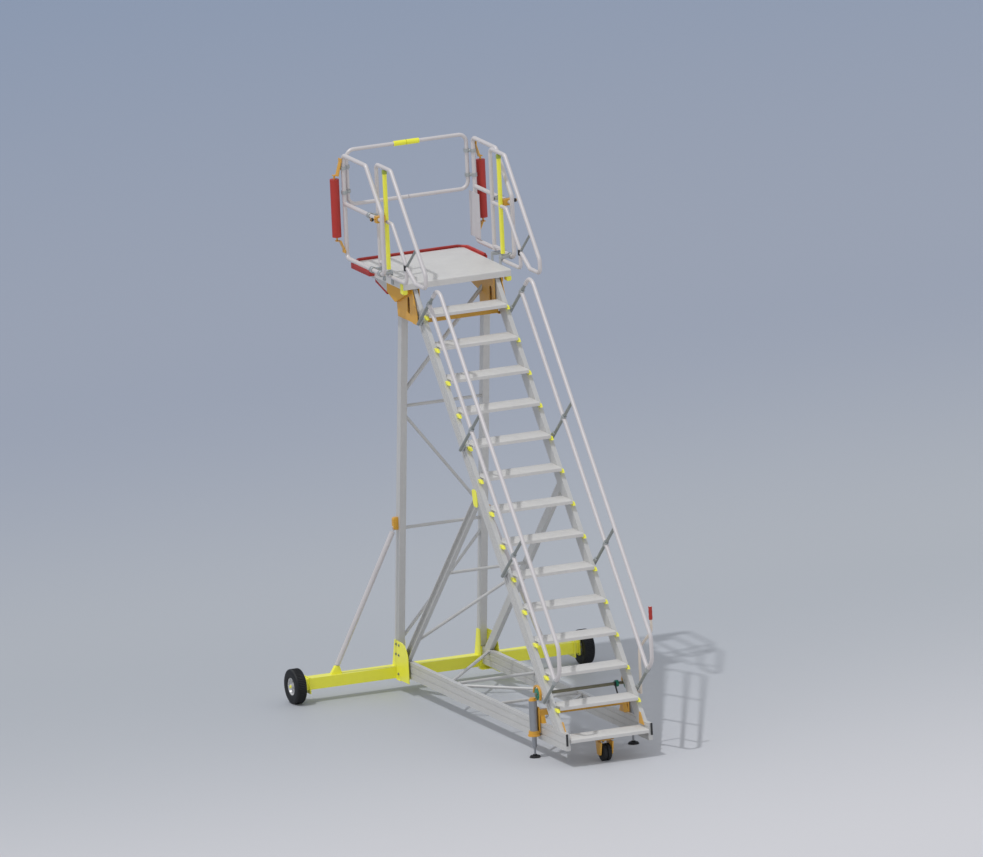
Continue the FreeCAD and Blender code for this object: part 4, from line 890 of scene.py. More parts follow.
@dataclass
class StairHandrails(Assembly):
    """The stair's handrails: top rails, mid rails, dark posts, clamps and feet."""

    x: float = 0.433
    radius: float = 0.018
    top: float = 0.504
    mid: float = 0.222
    short: float = 0.024
    bend: float = 0.100
    leg: float = 0.160
    first: float = 0.337
    last: float = 0.463
    count: int = 4
    foot: float = -0.135
    stringer: float = 0.405
    post: float = 0.014
    clamp: float = 0.0225
    clamp_half: float = 0.027
    lug: float = 0.020
    lug_height: float = 0.096
    lug_out: float = 0.012

    def stations(self) -> list[float]:
        """How far down the nose line each post stands.

        Returns:
            The distances, the highest post's first.
        """
        length = math.hypot(RISE, GOING) * STEPS
        pitch = (length - self.first - self.last) / (self.count - 1)
        return [self.first + pitch * number for number in range(self.count)]

    def build(self) -> None:
        """Builds both handrails."""
        for label, side in SIDES.items():
            self.build_rails(label, side * self.x)
            for number, along in enumerate(self.stations(), 1):
                self.build_post(f"{number}_{label}", side, along, number)

    def lower_leg(self) -> float:
        """How high over the nose line the top rail ends on the lowest post."""
        level = GOING * STEPS - self.short
        return (level - self.stations()[-1] * COS_SLOPE) / SIN_SLOPE - self.leg

    def build_rails(self, label: str, x: float) -> None:
        """Builds one side's top rail and mid rail.

        Args:
            label: the side's name, for the piece's name.
            x: the handrail's distance from the middle.
        """
        first, last = self.stations()[0], self.stations()[-1]
        end = (GOING * STEPS - self.short - self.top * SIN_SLOPE) / COS_SLOPE
        leg = self.lower_leg()
        spots = [(first, self.top - self.leg), (first, self.top), (end, self.top),
                 (last, leg + self.leg), (last, leg)]
        rail = tube([slope_point(x, *spot) for spot in spots], self.bend, self.radius)
        self.dress(rail, f"handrail_{label}", TUBE, "stair_handrails")
        rail = tube([slope_point(x, first, self.mid), slope_point(x, last, self.mid)], 0.0, self.radius)
        self.dress(rail, f"mid_rail_{label}", TUBE)

    def build_post(self, label: str, side: float, along: float, number: int) -> None:
        """Builds a post, the clamp at the mid rail and the foot on the stringer.

        Args:
            label: the post's number and side, for the pieces' names.
            side: which side the piece stands on, -1 or 1.
            along: how far down the nose line it stands.
            number: the post's place from the top, from 1.
        """
        x = side * self.x
        top = {1: self.top - self.leg, self.count: self.lower_leg()}.get(number, self.top - self.radius)
        post = tube([slope_point(x, along, self.foot), slope_point(x, along, top)], 0.0, self.post)
        self.dress(post, f"handrail_post_{label}", GREY_TUBE, "handrail_posts")
        ends = [slope_point(x, along, self.mid + way * self.clamp_half) for way in (-1, 1)]
        clamp = tube(ends, 0.0, self.clamp)
        self.dress(clamp, f"mid_rail_clamp_{label}", GREY_CAST)
        wall = side * self.stringer
        low, high = (slope_point(wall, along, self.foot + way) for way in (0.0, self.lug_height))
        lug = tube([low, high], 0.0, self.lug, 4)
        lug.data.transform(Matrix.Translation((side * self.lug_out, 0, 0)))
        self.dress(lug, f"handrail_foot_{label}", GREY_CAST)


@dataclass
class Tyres(Assembly):
    """The two wide tyres with grooved treads."""

    width: float = 0.098
    bead: float = 0.074
    shoulder: float = 0.018
    groove: float = 0.004
    block_gap: float = 0.0035
    slack: float = 0.003
    flat_slack: float = 0.004

    def build(self) -> None:
        """Builds both tyres."""
        for label, side in SIDES.items():
            low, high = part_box(f"tyre_{label}")
            outer = high[0] if side > 0 else low[0]
            centre = Vector((outer - side * self.width / 2, (low[1] + high[1]) / 2, (low[2] + high[2]) / 2))
            self.build_tyre(label, centre, (high[2] - low[2]) / 2)

    def build_tyre(self, label: str, centre: Vector, radius: float) -> None:
        """Spins one tyre from its section and sinks its tread pattern.

        Args:
            label: the side's name, for the piece's name.
            centre: the wheel's middle.
            radius: the tyre's outer radius.
        """
        middle = centre + Vector((0, 0, (radius + self.bead) / 2))
        tyre = begin(bpy.ops.mesh.primitive_plane_add, size=1.0, location=middle,
                     rotation=(math.pi / 2, 0, 0))
        stretch((self.width, 1.0, radius - self.bead), middle)
        round_corners(self.shoulder, 4)
        bpy.ops.mesh.select_all(action="SELECT")
        bpy.ops.mesh.delete(type="ONLY_FACE")
        bpy.ops.mesh.select_all(action="SELECT")
        bpy.ops.mesh.spin(steps=64, angle=2 * math.pi, center=tuple(centre), axis=(1, 0, 0))
        bpy.ops.mesh.select_all(action="SELECT")
        bpy.ops.mesh.remove_doubles(threshold=MERGE)
        bpy.ops.mesh.normals_make_consistent(inside=False)
        bpy.ops.mesh.select_mode(type="FACE")
        flat = self.width - 2 * self.shoulder - self.flat_slack

        def tread(face: bmesh.types.BMFace) -> bool:
            """Whether a face lies on the flat of the tread.

            Args:
                face: a face of the tyre.

            Returns:
                True when it does.
            """
            spot = face.calc_center_median() - centre
            wide = max(edge.calc_length() for edge in face.edges)
            return math.hypot(spot.y, spot.z) > radius - self.slack and wide > flat
        pick(tyre, tread)
        bpy.ops.mesh.inset(thickness=self.block_gap, use_individual=True)
        bpy.ops.transform.shrink_fatten(value=-self.groove)
        self.dress(close(tyre), f"tyre_tread_{label}", TYRE, f"tyre_{label}", body=f"wheel_{label}")


@dataclass
class Grips(Assembly):
    """The raised anti-slip ribs of the treads and the deck."""

    width: float = 0.70
    rib: float = 0.006
    height: float = 0.0014
    pitch: float = 0.0195
    per_tread: int = 10
    margin: float = 0.016
    crown: float = 0.55
    deck_side: float = 0.07
    deck_ends: float = 0.09
    deck_start: float = 0.05

    def bar(self, width: float) -> bpy.types.Object:
        """One rib at the origin, with sloped sides.

        Args:
            width: the rib's length across the tread.

        Returns:
            The rib.
        """
        bar = begin(bpy.ops.mesh.primitive_plane_add, size=1.0, location=(0, 0, 0))
        stretch((width, self.rib, 1.0), (0, 0, 0))
        move((0, 0, self.height))
        stretch((1.0, self.crown, 1.0), (0, 0, self.height))
        return close(bar)

    def build(self) -> None:
        """Ribs every tread and the deck."""
        near, top = deck_edge()
        for number in range(1, STEPS + 1):
            start = Vector((0, near - GOING * number + self.margin, top - RISE * number))
            places = [Matrix.Translation(start + Vector((0, self.pitch * row, 0)))
                      for row in range(self.per_tread)]
            ribs = copies(self.bar(self.width), places)
            self.dress(ribs, f"tread_ribs_{number}", TREAD)
        low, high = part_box("deck")
        wide = high[0] - low[0] - self.deck_side
        rows = int((high[1] - low[1] - self.deck_ends) / (2 * self.pitch))
        places = [Matrix.Translation((0, low[1] + self.deck_start + 2 * self.pitch * row, top))
                  for row in range(rows)]
        self.dress(copies(self.bar(wide), places), "deck_ribs", TREAD)


@dataclass
class ShoeScrews(Assembly):
    """The washers and socket screws of the mast shoes' outer cheeks."""

    x: float = 0.4272
    lean: float = 0.141
    rows: tuple[float, ...] = (0.16, 0.33, 0.42)
    back: float = 0.05
    spread: float = 0.03
    washer: float = 0.013
    washer_height: float = 0.002
    step: float = 0.004
    head_height: float = 0.006
    socket_depth: float = 0.003

    def model(self) -> bpy.types.Object:
        """One washer and socket screw head that points up from the origin.

        Returns:
            The screw.
        """
        screw = disc(self.washer, 12)
        move((0, 0, self.washer_height))
        for rise in (self.head_height, -self.socket_depth):
            bpy.ops.mesh.inset(thickness=self.step)
            move((0, 0, rise))
        return close(screw)

    def build(self) -> None:
        """Sets the screws of both shoes."""
        axle = middle_y("axle_beam")
        for label, side in SIDES.items():
            facing = Matrix.Rotation(side * math.pi / 2, 4, "Y")
            spots = [(side * self.x, axle - self.lean * z - self.back + off, z)
                     for z in self.rows for off in (-self.spread, self.spread)]
            places = [Matrix.Translation(spot) @ facing for spot in spots]
            self.dress(copies(self.model(), places), f"mast_shoe_screws_{label}", ZINC)


@dataclass
class AxleEnds(Assembly):
    """The beam's last stretch and its square flange beside each tyre."""

    start: float = 1.2455
    length: float = 0.036
    depth: float = 0.110
    height: float = 0.100
    z: float = 0.165
    flange: float = 0.142
    flange_thick: float = 0.010
    corner: float = 0.012

    def build(self) -> None:
        """Builds both ends."""
        for label, side in SIDES.items():
            centre = Vector((side * self.start, middle_y("axle_beam"), self.z))
            neck = plate(centre, self.depth, self.height, "X")
            thicken((side * self.length, 0, 0), CHAMFER)
            self.dress(close(neck), f"axle_neck_{label}", YELLOW)
            centre.x += side * self.length
            end = plate(centre, self.flange, self.flange, "X")
            round_corners(self.corner, 3)
            thicken((side * self.flange_thick, 0, 0))
            self.dress(close(end), f"axle_flange_{label}", YELLOW)


@dataclass
class ShoeCheeks(Assembly):
    """The wide round-nosed outer cheeks of the mast shoes."""

    x: float = 0.4213
    thick: float = 0.006
    nose: float = 0.327
    heel: float = 0.045
    low: float = 0.110
    high: float = 0.452
    corner: float = 0.150

    def build(self) -> None:
        """Cuts both cheeks."""
        y = middle_y("axle_beam") - (self.nose + self.heel) / 2
        z = (self.low + self.high) / 2
        for label, side in SIDES.items():
            spot = Vector((side * self.x, y, z))
            cheek = plate(spot, self.nose - self.heel, self.high - self.low, "X")
            pick_corners(cheek, lambda place: place.y < y and place.z > z)
            round_corners(self.corner, 10)
            thicken((side * self.thick, 0, 0))
            self.dress(close(cheek), f"mast_shoe_cheek_{label}", YELLOW)


@dataclass
class JackTops(Assembly):
    """The open arc covers, caps and green gears over the jacks."""

    gear_x: float = 0.4145
    gear: float = 0.043
    teeth: int = 20
    tooth: float = 0.008
    gear_width: float = 0.012
    cover: float = 0.066
    cover_arc: float = 215.0
    wall: float = 0.014
    cover_width: float = 0.018
    tube_top: float = 0.500
    cap: float = 0.036
    brim: float = 0.012
    crown_step: float = 0.010
    crown: float = 0.014

    def build(self) -> None:
        """Builds both jack tops."""
        y = foot_y() + JACK_FROM_FOOT
        for label, side in SIDES.items():
            axle = Vector((side * self.gear_x, y, SHAFT_Z))
            self.build_cover(label, axle)
            self.build_gear(label, axle)
            cap = disc(self.cap, 32, (side * JACK_X, y, self.tube_top))
            move((0, 0, self.brim))
            bpy.ops.mesh.inset(thickness=self.crown_step)
            move((0, 0, self.crown))
            self.dress(close(cap), f"jack_cap_{label}", ORANGE)

    def build_cover(self, label: str, axle: Vector) -> None:
        """Spins the cover's section over the gear, from behind to under the front.

        Args:
            label: the side's name, for the piece's name.
            axle: the gear's middle.
        """
        start = axle + Vector((0, self.cover + self.wall / 2, 0))
        cover = begin(bpy.ops.mesh.primitive_plane_add, size=1.0, location=start)
        stretch((self.cover_width, self.wall, 1.0), start)
        bpy.ops.mesh.spin(steps=20, angle=-math.radians(self.cover_arc), center=tuple(axle), axis=(1, 0, 0))
        self.dress(close(cover), f"gear_cover_{label}", ORANGE, "jack_gearboxes")

    def build_gear(self, label: str, axle: Vector) -> None:
        """Extrudes a disc and then every other flat of its rim, as teeth.

        Args:
            label: the side's name, for the piece's name.
            axle: the gear's middle.
        """
        start = axle - Vector((self.gear_width / 2, 0, 0))
        gear = disc(self.gear, 2 * self.teeth, start, (0, math.pi / 2, 0))
        move((self.gear_width, 0, 0))
        step = math.pi / self.teeth

        def tooth(face: bmesh.types.BMFace) -> bool:
            """Whether a face is one of the rim's flats that carry a tooth.

            Args:
                face: a face of the gear.

            Returns:
                True when it is.
            """
            spot = face.calc_center_median() - axle
            turn = int(math.atan2(spot.z, spot.y) // step)
            return abs(face.normal.x) < 0.5 and turn % 2 == 0
        bpy.ops.mesh.normals_make_consistent(inside=False)
        pick(gear, tooth)
        bpy.ops.mesh.extrude_region_shrink_fatten(TRANSFORM_OT_shrink_fatten={"value": self.tooth})
        self.dress(close(gear), f"jack_gear_{label}", GREEN, "jack_gears")


@dataclass
class HandControls(Assembly):
    """The lever's red grip and the black knobs of the index plungers."""

    lever: float = 0.012
    grip_wall: float = 0.0035
    grip_length: float = 0.115
    grip_rings: int = 5
    grip_swell: float = 1.1
    grip_step: float = 0.004
    knob: float = 0.0165
    knob_neck: float = 0.011
    knob_inset: float = 0.027
    knob_rise: float = 0.004
    knob_steps: tuple[tuple[float, float], ...] = ((0.014, 1.0), (0.006, 0.88), (0.004, 0.6))

    def build(self) -> None:
        """Builds the grip and the knobs."""
        self.build_grip()
        for label, side in SIDES.items():
            self.build_knob(label, side)

    def build_grip(self) -> None:
        """Builds the lever's grip ring by ring."""
        low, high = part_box("control_lever")
        top = Vector((high[0] - self.lever, low[1] + self.lever + 0.004, high[2] - 0.001))
        grip = disc(self.lever + self.grip_wall, 20, top - Vector((0, 0, self.grip_length)))
        for ring in range(self.grip_rings):
            move((0, 0, self.grip_length / self.grip_rings))
            size = self.grip_swell if ring % 2 == 0 else 1 / self.grip_swell
            left = self.grip_length * (1 - (ring + 1) / self.grip_rings)
            stretch((size, size, 1.0), top - Vector((0, 0, left)))
        bpy.ops.mesh.inset(thickness=self.grip_step)
        self.dress(close(grip), "lever_grip", RED)

    def build_knob(self, label: str, side: float) -> None:
        """Builds one plunger's knob outwards from its neck.

        Args:
            label: the side's name, for the piece's name.
            side: which side the piece stands on, -1 or 1.
        """
        low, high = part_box("index_plungers")
        z = (low[2] + high[2]) / 2 + self.knob_rise
        start = Vector((side * (high[0] - self.knob_inset), middle_y("index_plungers"), z))
        facing = Vector((side, 0, 0)).to_track_quat("Z", "Y").to_euler()
        knob = disc(self.knob_neck, 24, start, facing)
        for reach, size in ((0.004, self.knob / self.knob_neck), *self.knob_steps):
            move((side * reach, 0, 0))
            start = start + Vector((side * reach, 0, 0))
            stretch((1.0, size, size), start)
        self.dress(close(knob), f"plunger_knob_{label}", BLACK)


@dataclass
class TreadEnds(Assembly):
    """The small cast brackets under the treads' ends and the gussets over the back struts."""

    inner: float = 0.3655
    width: float = 0.026
    back: float = 0.047
    length: float = 0.056
    height: float = 0.030
    below: float = 0.034
    gusset_x: float = 0.4055
    gusset_y: float = -0.214
    gusset_z: float = 2.055
    gusset: float = 0.150
    gusset_slim: float = 0.62
    gusset_lean: float = 0.03
    gusset_corner: float = 0.03
    gusset_thick: float = 0.006

    def build(self) -> None:
        """Builds each side's brackets and gusset."""
        for label, side in SIDES.items():
            self.build_brackets(label, side)
            self.build_gusset(label, side)

    def build_brackets(self, label: str, side: float) -> None:
        """Builds one bracket and copies it to every tread but the lowest.

        Args:
            label: the side's name, for the piece's name.
            side: which side the piece stands on, -1 or 1.
        """
        near, top = deck_edge()
        model = plate(Vector((side * self.inner, self.back, -self.below)), self.length, self.height, "X")
        pick_corners(model, lambda spot: spot.z < -self.below)
        bpy.ops.transform.translate(value=(0, -self.height * GOING / RISE, 0))
        thicken((side * self.width, 0, 0), CAST_CHAMFER)
        places = [Matrix.Translation((0, near - GOING * step, top - RISE * step)) for step in range(1, STEPS)]
        self.dress(copies(close(model), places), f"tread_end_brackets_{label}", YELLOW, "stair_brackets")

    def build_gusset(self, label: str, side: float) -> None:
        """Cuts the gusset where a back strut meets the stringer.

        Args:
            label: the side's name, for the piece's name.
            side: which side the piece stands on, -1 or 1.
        """
        spot = Vector((side * self.gusset_x, self.gusset_y, self.gusset_z))
        gusset = plate(spot, self.gusset * self.gusset_slim, self.gusset, "X")
        pick_corners(gusset, lambda place: place.z > self.gusset_z)
        bpy.ops.transform.translate(value=(0, self.gusset_lean, 0))
        bpy.ops.mesh.select_all(action="SELECT")
        round_corners(self.gusset_corner, 5)
        thicken((side * self.gusset_thick, 0, 0))
        self.dress(close(gusset), f"strut_gusset_{label}", YELLOW)


@dataclass
class OutriggerEnds(Assembly):
    """The round-ended orange bracket on the mast and the yellow gusset on the axle beam."""

    thick: float = 0.040
    eye_z: float = 1.475
    lean: float = 0.141
    top_x: float = 0.4385
    top_up: float = 0.038
    top_size: tuple[float, float] = (0.047, 0.110)
    top_corner: float = 0.021
    foot_x: float = 0.970
    foot_size: tuple[float, float] = (0.104, 0.070)
    foot_slim: float = 0.36
    foot_lean: float = 0.018
    beam_top: float = 0.215

    def build(self) -> None:
        """Builds both ends on both sides."""
        axle = middle_y("axle_beam")
        wide, high = self.foot_size
        middle = self.beam_top + high / 2
        for label, side in SIDES.items():
            y = axle - self.lean * self.eye_z - self.thick / 2
            top = plate(Vector((side * self.top_x, y, self.eye_z + self.top_up)), *self.top_size, "Y")
            pick_corners(top, lambda spot: abs(spot.x) > self.top_x)
            round_corners(self.top_corner, 6)
            thicken((0, self.thick, 0), CHAMFER)
            self.dress(close(top), f"outrigger_bracket_{label}", ORANGE, "outrigger_brackets")
            foot = plate(Vector((side * self.foot_x, axle - self.thick / 2, middle)), wide, high, "Y")
            pick_corners(foot, lambda spot: spot.z > middle)
            about = (side * (self.foot_x - self.foot_lean), axle, self.beam_top + high)
            stretch((self.foot_slim, 1.0, 1.0), about)
            thicken((0, self.thick, 0), CHAMFER)
            self.dress(close(foot), f"outrigger_gusset_{label}", YELLOW)


@dataclass
class DeckEdges(Assembly):
    """The red lip over the bumper and the yellow plates under the deck's stair corners."""

    lip: float = 0.014
    lip_up: float = 0.007
    lip_bend: float = 0.03
    inset: float = 0.022
    bumper: float = 0.05
    leg: float = 0.420
    corner: float = 0.070
    plate_x: float = 0.487
    plate_back: float = 0.012
    plate_below: float = 0.010
    plate_width: float = 0.046
    plate_drop: float = 0.094
    plate_corner: float = 0.012
    plate_thick: float = 0.055

    def build(self) -> None:
        """Builds the lip and both corner plates."""
        _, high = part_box("bumper")
        near, top = deck_edge()
        x, face, z = high[0] - self.inset, high[1] - self.inset, top + self.lip_up
        back = high[1] - self.bumper - self.leg
        half = [(x, back), (x, face - self.corner), (x - self.corner, face)]
        path = half + [(-a, b) for a, b in reversed(half)]
        lip = tube([Vector((a, b, z)) for a, b in path], self.lip_bend, self.lip, 14)
        self.dress(lip, "bumper_lip", RED)
        for label, side in SIDES.items():
            z = top - self.plate_below - self.plate_drop / 2
            corner = plate(Vector((side * self.plate_x, near + self.plate_back, z)), self.plate_width,
                           self.plate_drop, "Y")
            pick_corners(corner, lambda place: place.z < z)
            round_corners(self.plate_corner, 3)
            thicken((0, self.plate_thick, 0), CHAMFER)
            self.dress(close(corner), f"deck_corner_plate_{label}", YELLOW, "deck_corner_brackets")


@dataclass
class GuideSleeves(Assembly):
    """The sleeves, arms and foot plates that carry the sliding guards' rails."""

    x: float = 0.610
    bore: float = 0.0199
    wall: float = 0.008
    length: float = 0.044
    front: float = 0.420
    rear: float = 0.240
    low: float = 0.060
    mid: float = 0.540
    deck: float = 0.5045
    guard: float = 0.5535
    arm: float = 0.028
    foot_below: float = 0.061
    foot: float = 0.094
    foot_thick: float = 0.008

    def build(self) -> None:
        """Builds every sleeve with its arm, and the low ones' foot plates."""
        near, top = deck_edge()
        for label, side in SIDES.items():
            for name, y, z in (("front", self.front, self.low), ("rear", self.rear, self.low),
                               ("upper", self.front, self.mid)):
                spot = Vector((side * self.x, near + y, top + z))
                self.build_sleeve(f"{name}_{label}", side, spot, z == self.mid)

    def build_sleeve(self, label: str, side: float, spot: Vector, upper: bool) -> None:
        """Builds one sleeve, hollow for its rail, and what holds it.

        Args:
            label: the end of the pieces' names.
            side: -1 on the left and 1 on the right.
            spot: the sleeve's middle.
            upper: whether an arm to the fixed guard holds it, and not a foot on the deck.
        """
        start = spot - Vector((0, self.length / 2, 0))
        ring = begin(bpy.ops.mesh.primitive_circle_add, vertices=24, radius=self.bore,
                     fill_type="NOTHING", location=start, rotation=(math.pi / 2, 0, 0))
        bpy.ops.mesh.select_mode(type="EDGE")
        bpy.ops.mesh.select_all(action="SELECT")
        move((0, self.length, 0))
        close(ring)
        shell = ring.modifiers.new("wall", "SOLIDIFY")
        shell.thickness = self.wall
        shell.offset = 1.0
        bpy.ops.object.modifier_apply(modifier=shell.name)
        self.dress(ring, f"guide_sleeve_{label}", GREY_CAST, "guard_guides")
        inner = self.guard if upper else self.deck
        outer = self.x - self.bore - self.wall / 2
        arm = plate(Vector((side * (inner + outer) / 2, start.y, spot.z)), outer - inner, self.arm, "Y")
        thicken((0, self.length, 0), CAST_CHAMFER)
        self.dress(close(arm), f"guide_arm_{label}", GREY_CAST)
        if not upper:
            below = Vector((side * self.deck, spot.y, spot.z - self.foot_below))
            foot = plate(below, self.length, self.foot, "X")
            thicken((side * self.foot_thick, 0, 0), CHAMFER)
            self.dress(close(foot), f"guide_foot_{label}", GREY_CAST)


@dataclass
class FootFittings(Assembly):
    """The rail end angles, the jacks' collars, plates and shaft, the foot gussets and the caster's plates."""

    angle_x: float = 0.396
    angle_z: float = 0.247
    angle_size: tuple[float, float] = (0.018, 0.106)
    angle_thick: float = 0.008
    jack_low: float = 0.190
    bore: float = 0.0225
    collar: float = 0.047
    brim: float = 0.008
    brim_height: float = 0.012
    collar_up: float = 0.011
    collar_height: float = 0.034
    wing_x: float = 0.4115
    wing_z: float = 0.325
    wing_size: tuple[float, float] = (0.062, 0.230)
    wing_corner: float = 0.012
    wing_thick: float = 0.013
    gusset_x: float = 0.3645
    gusset_back: float = 0.152
    gusset_z: float = 0.322
    gusset_size: tuple[float, float] = (0.105, 0.102)
    gusset_slim: float = 0.25
    gusset_lean: float = 0.04
    gusset_thick: float = 0.006
    shaft: float = 0.014
    shaft_reach: float = 0.434
    coupling: float = 0.030
    coupling_ends: tuple[float, float] = (0.318, 0.340)
    caster_plate: tuple[float, float] = (0.150, 0.140)
    caster_plate_below: float = 0.0085
    caster_plate_thick: float = 0.008
    caster_plate_corner: float = 0.014
    cheek: float = 0.120
    cheek_low: float = 0.052
    cheek_below: float = 0.010
    cheek_slim: float = 0.62
    cheek_corner: float = 0.018
    cheek_thick: float = 0.014
    cheek_gap: float = 0.0005

    def build(self) -> None:
        """Builds the fittings of both sides, then the shaft and the caster's plate."""
        for label, side in SIDES.items():
            self.build_angle(label, side)
            self.build_jack(label, side)
            self.build_cheek(label, side)
            self.build_gusset(label, side)
        self.build_shaft()
        self.build_caster_plate()

    def build_angle(self, label: str, side: float) -> None:
        """Builds the dark angle on a base rail's end.

        Args:
            label: the side's name, for the piece's name.
            side: which side the piece stands on, -1 or 1.
        """
        low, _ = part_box("base_rail_caps")
        angle = plate(Vector((side * self.angle_x, low[1], self.angle_z)), *self.angle_size, "Y")
        thicken((0, self.angle_thick, 0), CHAMFER)
        self.dress(close(angle), f"rail_end_angle_{label}", BLACK, "base_rail_caps")

    def build_jack(self, label: str, side: float) -> None:
        """Builds the collar under a jack's housing and the plate that holds the jack.

        Args:
            label: the side's name, for the piece's name.
            side: which side the piece stands on, -1 or 1.
        """
        jack_y = foot_y() + JACK_FROM_FOOT
        base = Vector((side * JACK_X, jack_y, self.jack_low))
        brim = washer(self.collar + self.brim, self.bore, self.brim_height, base)
        self.dress(brim, f"jack_collar_{label}", ORANGE)
        ring = washer(self.collar, self.bore, self.collar_height, base + Vector((0, 0, self.collar_up)))
        self.dress(ring, f"jack_collar_ring_{label}", ORANGE)
        wing = plate(Vector((side * self.wing_x, jack_y, self.wing_z)), *self.wing_size, "X")
        round_corners(self.wing_corner, 3)
        thicken((side * self.wing_thick, 0, 0))
        self.dress(close(wing), f"jack_side_plate_{label}", ORANGE)

    def build_cheek(self, label: str, side: float) -> None:
        """Builds one large cheek of the caster's fork.

        Args:
            label: the side's name, for the piece's name.
            side: which side the piece stands on, -1 or 1.
        """
        _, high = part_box("caster_fork")
        top = high[2] - self.cheek_below
        middle = (self.cheek_low + top) / 2
        spot = Vector((side * (high[0] + self.cheek_gap), middle_y("caster_wheels"), middle))
        cheek = plate(spot, self.cheek, top - self.cheek_low, "X")
        pick_corners(cheek, lambda place: place.z < middle)
        stretch((1.0, self.cheek_slim, 1.0), spot)
        round_corners(self.cheek_corner, 4)
        thicken((side * self.cheek_thick, 0, 0), CHAMFER)
        self.dress(close(cheek), f"caster_cheek_{label}", ORANGE, body="caster_fork")

    def build_gusset(self, label: str, side: float) -> None:
        """Cuts the gusset inside a stringer's foot.

        Args:
            label: the side's name, for the piece's name.
            side: which side the piece stands on, -1 or 1.
        """
        spot = Vector((side * self.gusset_x, foot_y() + self.gusset_back, self.gusset_z))
        gusset = plate(spot, *self.gusset_size, "X")
        pick_corners(gusset, lambda place: place.z > spot.z)
        stretch((1.0, self.gusset_slim, 1.0), spot + Vector((0, self.gusset_lean, 0)))
        thicken((-side * self.gusset_thick, 0, 0))
        self.dress(close(gusset), f"stringer_foot_gusset_{label}", ORANGE)

    def build_shaft(self) -> None:
        """Builds the shaft between the jacks and its coupling."""
        axle = Vector((0.0, foot_y() + JACK_FROM_FOOT, SHAFT_Z))
        ends = [axle + Vector((x, 0, 0)) for x in (-self.shaft_reach, self.shaft_reach)]
        self.dress(tube(ends, 0.0, self.shaft, 24), "jack_cross_shaft", OLIVE, "cross_shaft")
        ends = [axle + Vector((x, 0, 0)) for x in self.coupling_ends]
        self.dress(tube(ends, 0.0, self.coupling, 18), "shaft_coupling", GREEN)

    def build_caster_plate(self) -> None:
        """Builds the plate over the caster."""
        _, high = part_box("caster_mount")
        spot = Vector((0.0, middle_y("caster_mount"), high[2] - self.caster_plate_below))
        top = begin(bpy.ops.mesh.primitive_plane_add, size=1.0, location=spot)
        stretch((*self.caster_plate, 1.0), spot)
        round_corners(self.caster_plate_corner, 4)
        thicken((0, 0, self.caster_plate_thick))
        self.dress(close(top), "caster_top_plate", ORANGE)


ASSEMBLIES: tuple[type, ...] = (
    FixedGuards, StairHandrails, Tyres, Grips, ShoeScrews, ShoeCheeks, JackTops, HandControls,
    TreadEnds, OutriggerEnds, DeckEdges, GuideSleeves, FootFittings, AxleEnds)


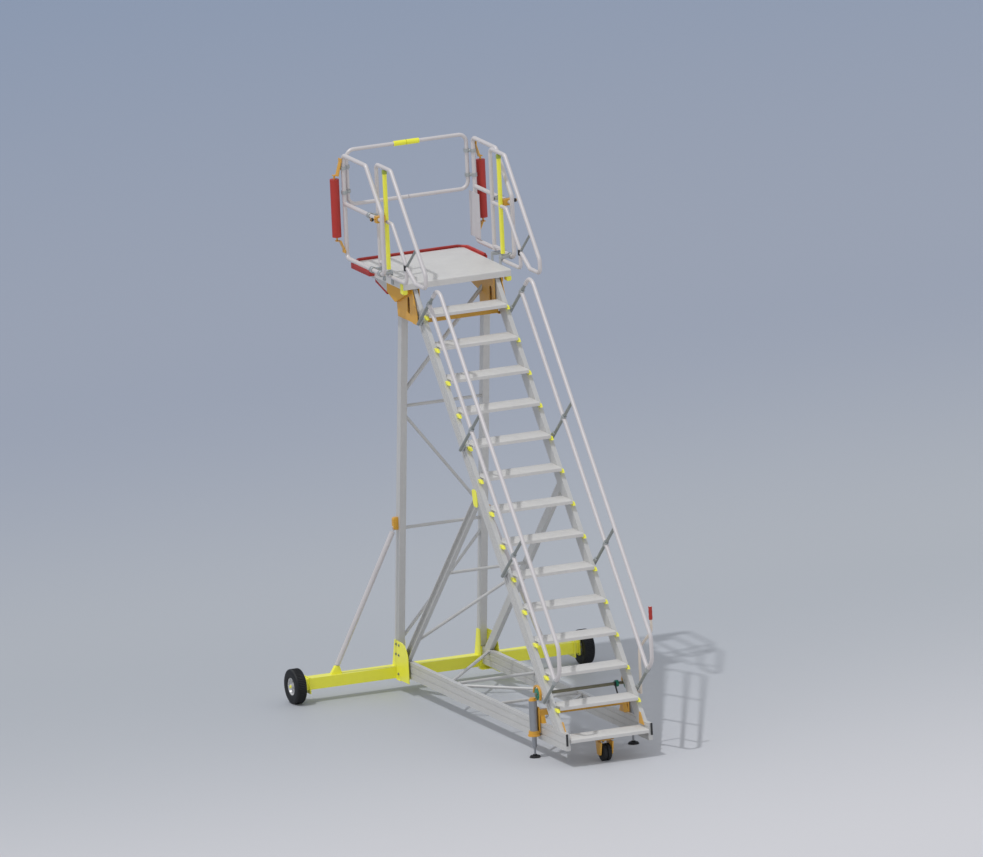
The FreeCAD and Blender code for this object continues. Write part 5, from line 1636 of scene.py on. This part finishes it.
# ------------------------------------------------------------------ stage
@dataclass
class Stage:
    """The floor, the soft light and the camera."""

    floor_size: float = 160.0
    fade: tuple[float, float] = (-7.0, 36.0)
    apron_at: float = 0.26
    middle_at: float = 0.5
    near: Colour = (0.60, 0.60, 0.63)
    apron: Colour = (0.40, 0.425, 0.465)
    middle: Colour = (0.305, 0.34, 0.42)
    far: Colour = (0.225, 0.285, 0.40)
    sky_level: float = 0.74
    sun_level: float = 1.25
    sun_way: Triple = (0.42, 0.10, -1.0)
    sun_spread: float = 1.2
    azimuth: float = -22.5
    elevation: float = 12.5
    roll: float = 2.7
    view_width: float = 8.474
    aim: Triple = (0.0, 0.3385, 2.52)
    stand_off: float = 30.0

    def build(self) -> None:
        """Builds the floor, the light and the camera."""
        self.build_floor()
        self.build_light()
        self.build_camera()

    def build_floor(self) -> None:
        """A pale floor that grows darker and bluer away from the stair's foot."""
        bpy.ops.mesh.primitive_plane_add(size=self.floor_size, location=(0, 0, 0))
        floor = bpy.context.object
        floor.name = "floor"
        made = bpy.data.materials.new("pale_floor")
        made.use_nodes = True
        tree = made.node_tree
        shader = tree.nodes["Principled BSDF"]
        shader.inputs["Roughness"].default_value = 0.55
        shader.inputs["Specular IOR Level"].default_value = 0.2
        place = put(tree, "ShaderNodeTexCoord")
        parts = put(tree, "ShaderNodeSeparateXYZ")
        reach = put(tree, "ShaderNodeMapRange", in_1=self.fade[0], in_2=self.fade[1], clamp=True)
        ramp = put(tree, "ShaderNodeValToRGB")
        ramp.color_ramp.interpolation = "EASE"
        stops = ramp.color_ramp.elements
        stops[0].position, stops[0].color = 0.0, (*self.near, 1.0)
        stops[1].position, stops[1].color = 1.0, (*self.far, 1.0)
        for where, colour in ((self.apron_at, self.apron), (self.middle_at, self.middle)):
            stop = stops.new(where)
            stop.color = (*colour, 1.0)
        tree.links.new(place.outputs["Object"], parts.inputs[0])
        tree.links.new(parts.outputs["Y"], reach.inputs[0])
        tree.links.new(reach.outputs[0], ramp.inputs[0])
        tree.links.new(ramp.outputs[0], shader.inputs["Base Color"])
        floor.data.materials.append(made)
        LOG.info("floor laid")

    def build_light(self) -> None:
        """An even sky and one soft sun."""
        world = bpy.data.worlds.new("soft_sky")
        bpy.context.scene.world = world
        world.use_nodes = True
        tree = world.node_tree
        tree.nodes.clear()
        light = put(tree, "ShaderNodeBackground", in_Color=(1.0, 1.0, 1.0, 1.0), in_Strength=self.sky_level)
        seen = put(tree, "ShaderNodeBackground", in_Color=(*self.far, 1.0), in_Strength=1.0)
        path = put(tree, "ShaderNodeLightPath")
        sharp = put(tree, "ShaderNodeMath", operation="MAXIMUM")
        shown = put(tree, "ShaderNodeMath", operation="MAXIMUM")
        mix = put(tree, "ShaderNodeMixShader")
        end = put(tree, "ShaderNodeOutputWorld")
        tree.links.new(path.outputs["Is Glossy Ray"], sharp.inputs[0])
        tree.links.new(path.outputs["Is Transmission Ray"], sharp.inputs[1])
        tree.links.new(path.outputs["Is Camera Ray"], shown.inputs[0])
        tree.links.new(sharp.outputs[0], shown.inputs[1])
        tree.links.new(shown.outputs[0], mix.inputs[0])
        tree.links.new(light.outputs[0], mix.inputs[1])
        tree.links.new(seen.outputs[0], mix.inputs[2])
        tree.links.new(mix.outputs[0], end.inputs[0])
        lamp = bpy.data.lights.new("soft_sun", "SUN")
        lamp.energy = self.sun_level
        lamp.angle = math.radians(self.sun_spread)
        sun = bpy.data.objects.new("soft_sun", lamp)
        sun.rotation_mode = "QUATERNION"
        sun.rotation_quaternion = Vector(self.sun_way).to_track_quat("-Z", "Y")
        bpy.context.scene.collection.objects.link(sun)

    def build_camera(self) -> None:
        """A parallel view from the stair's side, with a slight roll."""
        a, e, r = (math.radians(v) for v in (self.azimuth, self.elevation, self.roll))
        back = Vector((math.sin(a) * math.cos(e), -math.cos(a) * math.cos(e), math.sin(e)))
        level = Vector((math.cos(a), math.sin(a), 0.0))
        up = back.cross(level)
        right = level * math.cos(r) - up * math.sin(r)
        up = level * math.sin(r) + up * math.cos(r)
        lens = bpy.data.cameras.new("camera")
        lens.type = "ORTHO"
        lens.ortho_scale = self.view_width
        lens.clip_end = 4 * self.stand_off
        camera = bpy.data.objects.new("camera", lens)
        camera.matrix_world = Matrix.Translation(Vector(self.aim) + back * self.stand_off) @ Matrix(
            (right, up, back)).transposed().to_4x4()
        bpy.context.scene.collection.objects.link(camera)
        bpy.context.scene.camera = camera
        bpy.context.scene.view_settings.view_transform = "Standard"


def main() -> None:
    """Loads the frame and builds the finishes, the trim and the stage around it."""
    logging.basicConfig(level=logging.INFO, format="%(name)s: %(message)s")
    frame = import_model()
    bpy.ops.object.select_all(action="DESELECT")
    Stage().build()
    dress_frame(frame["nodes"])
    for assembly in ASSEMBLIES:
        assembly().build()


if __name__ == "__main__":
    main()
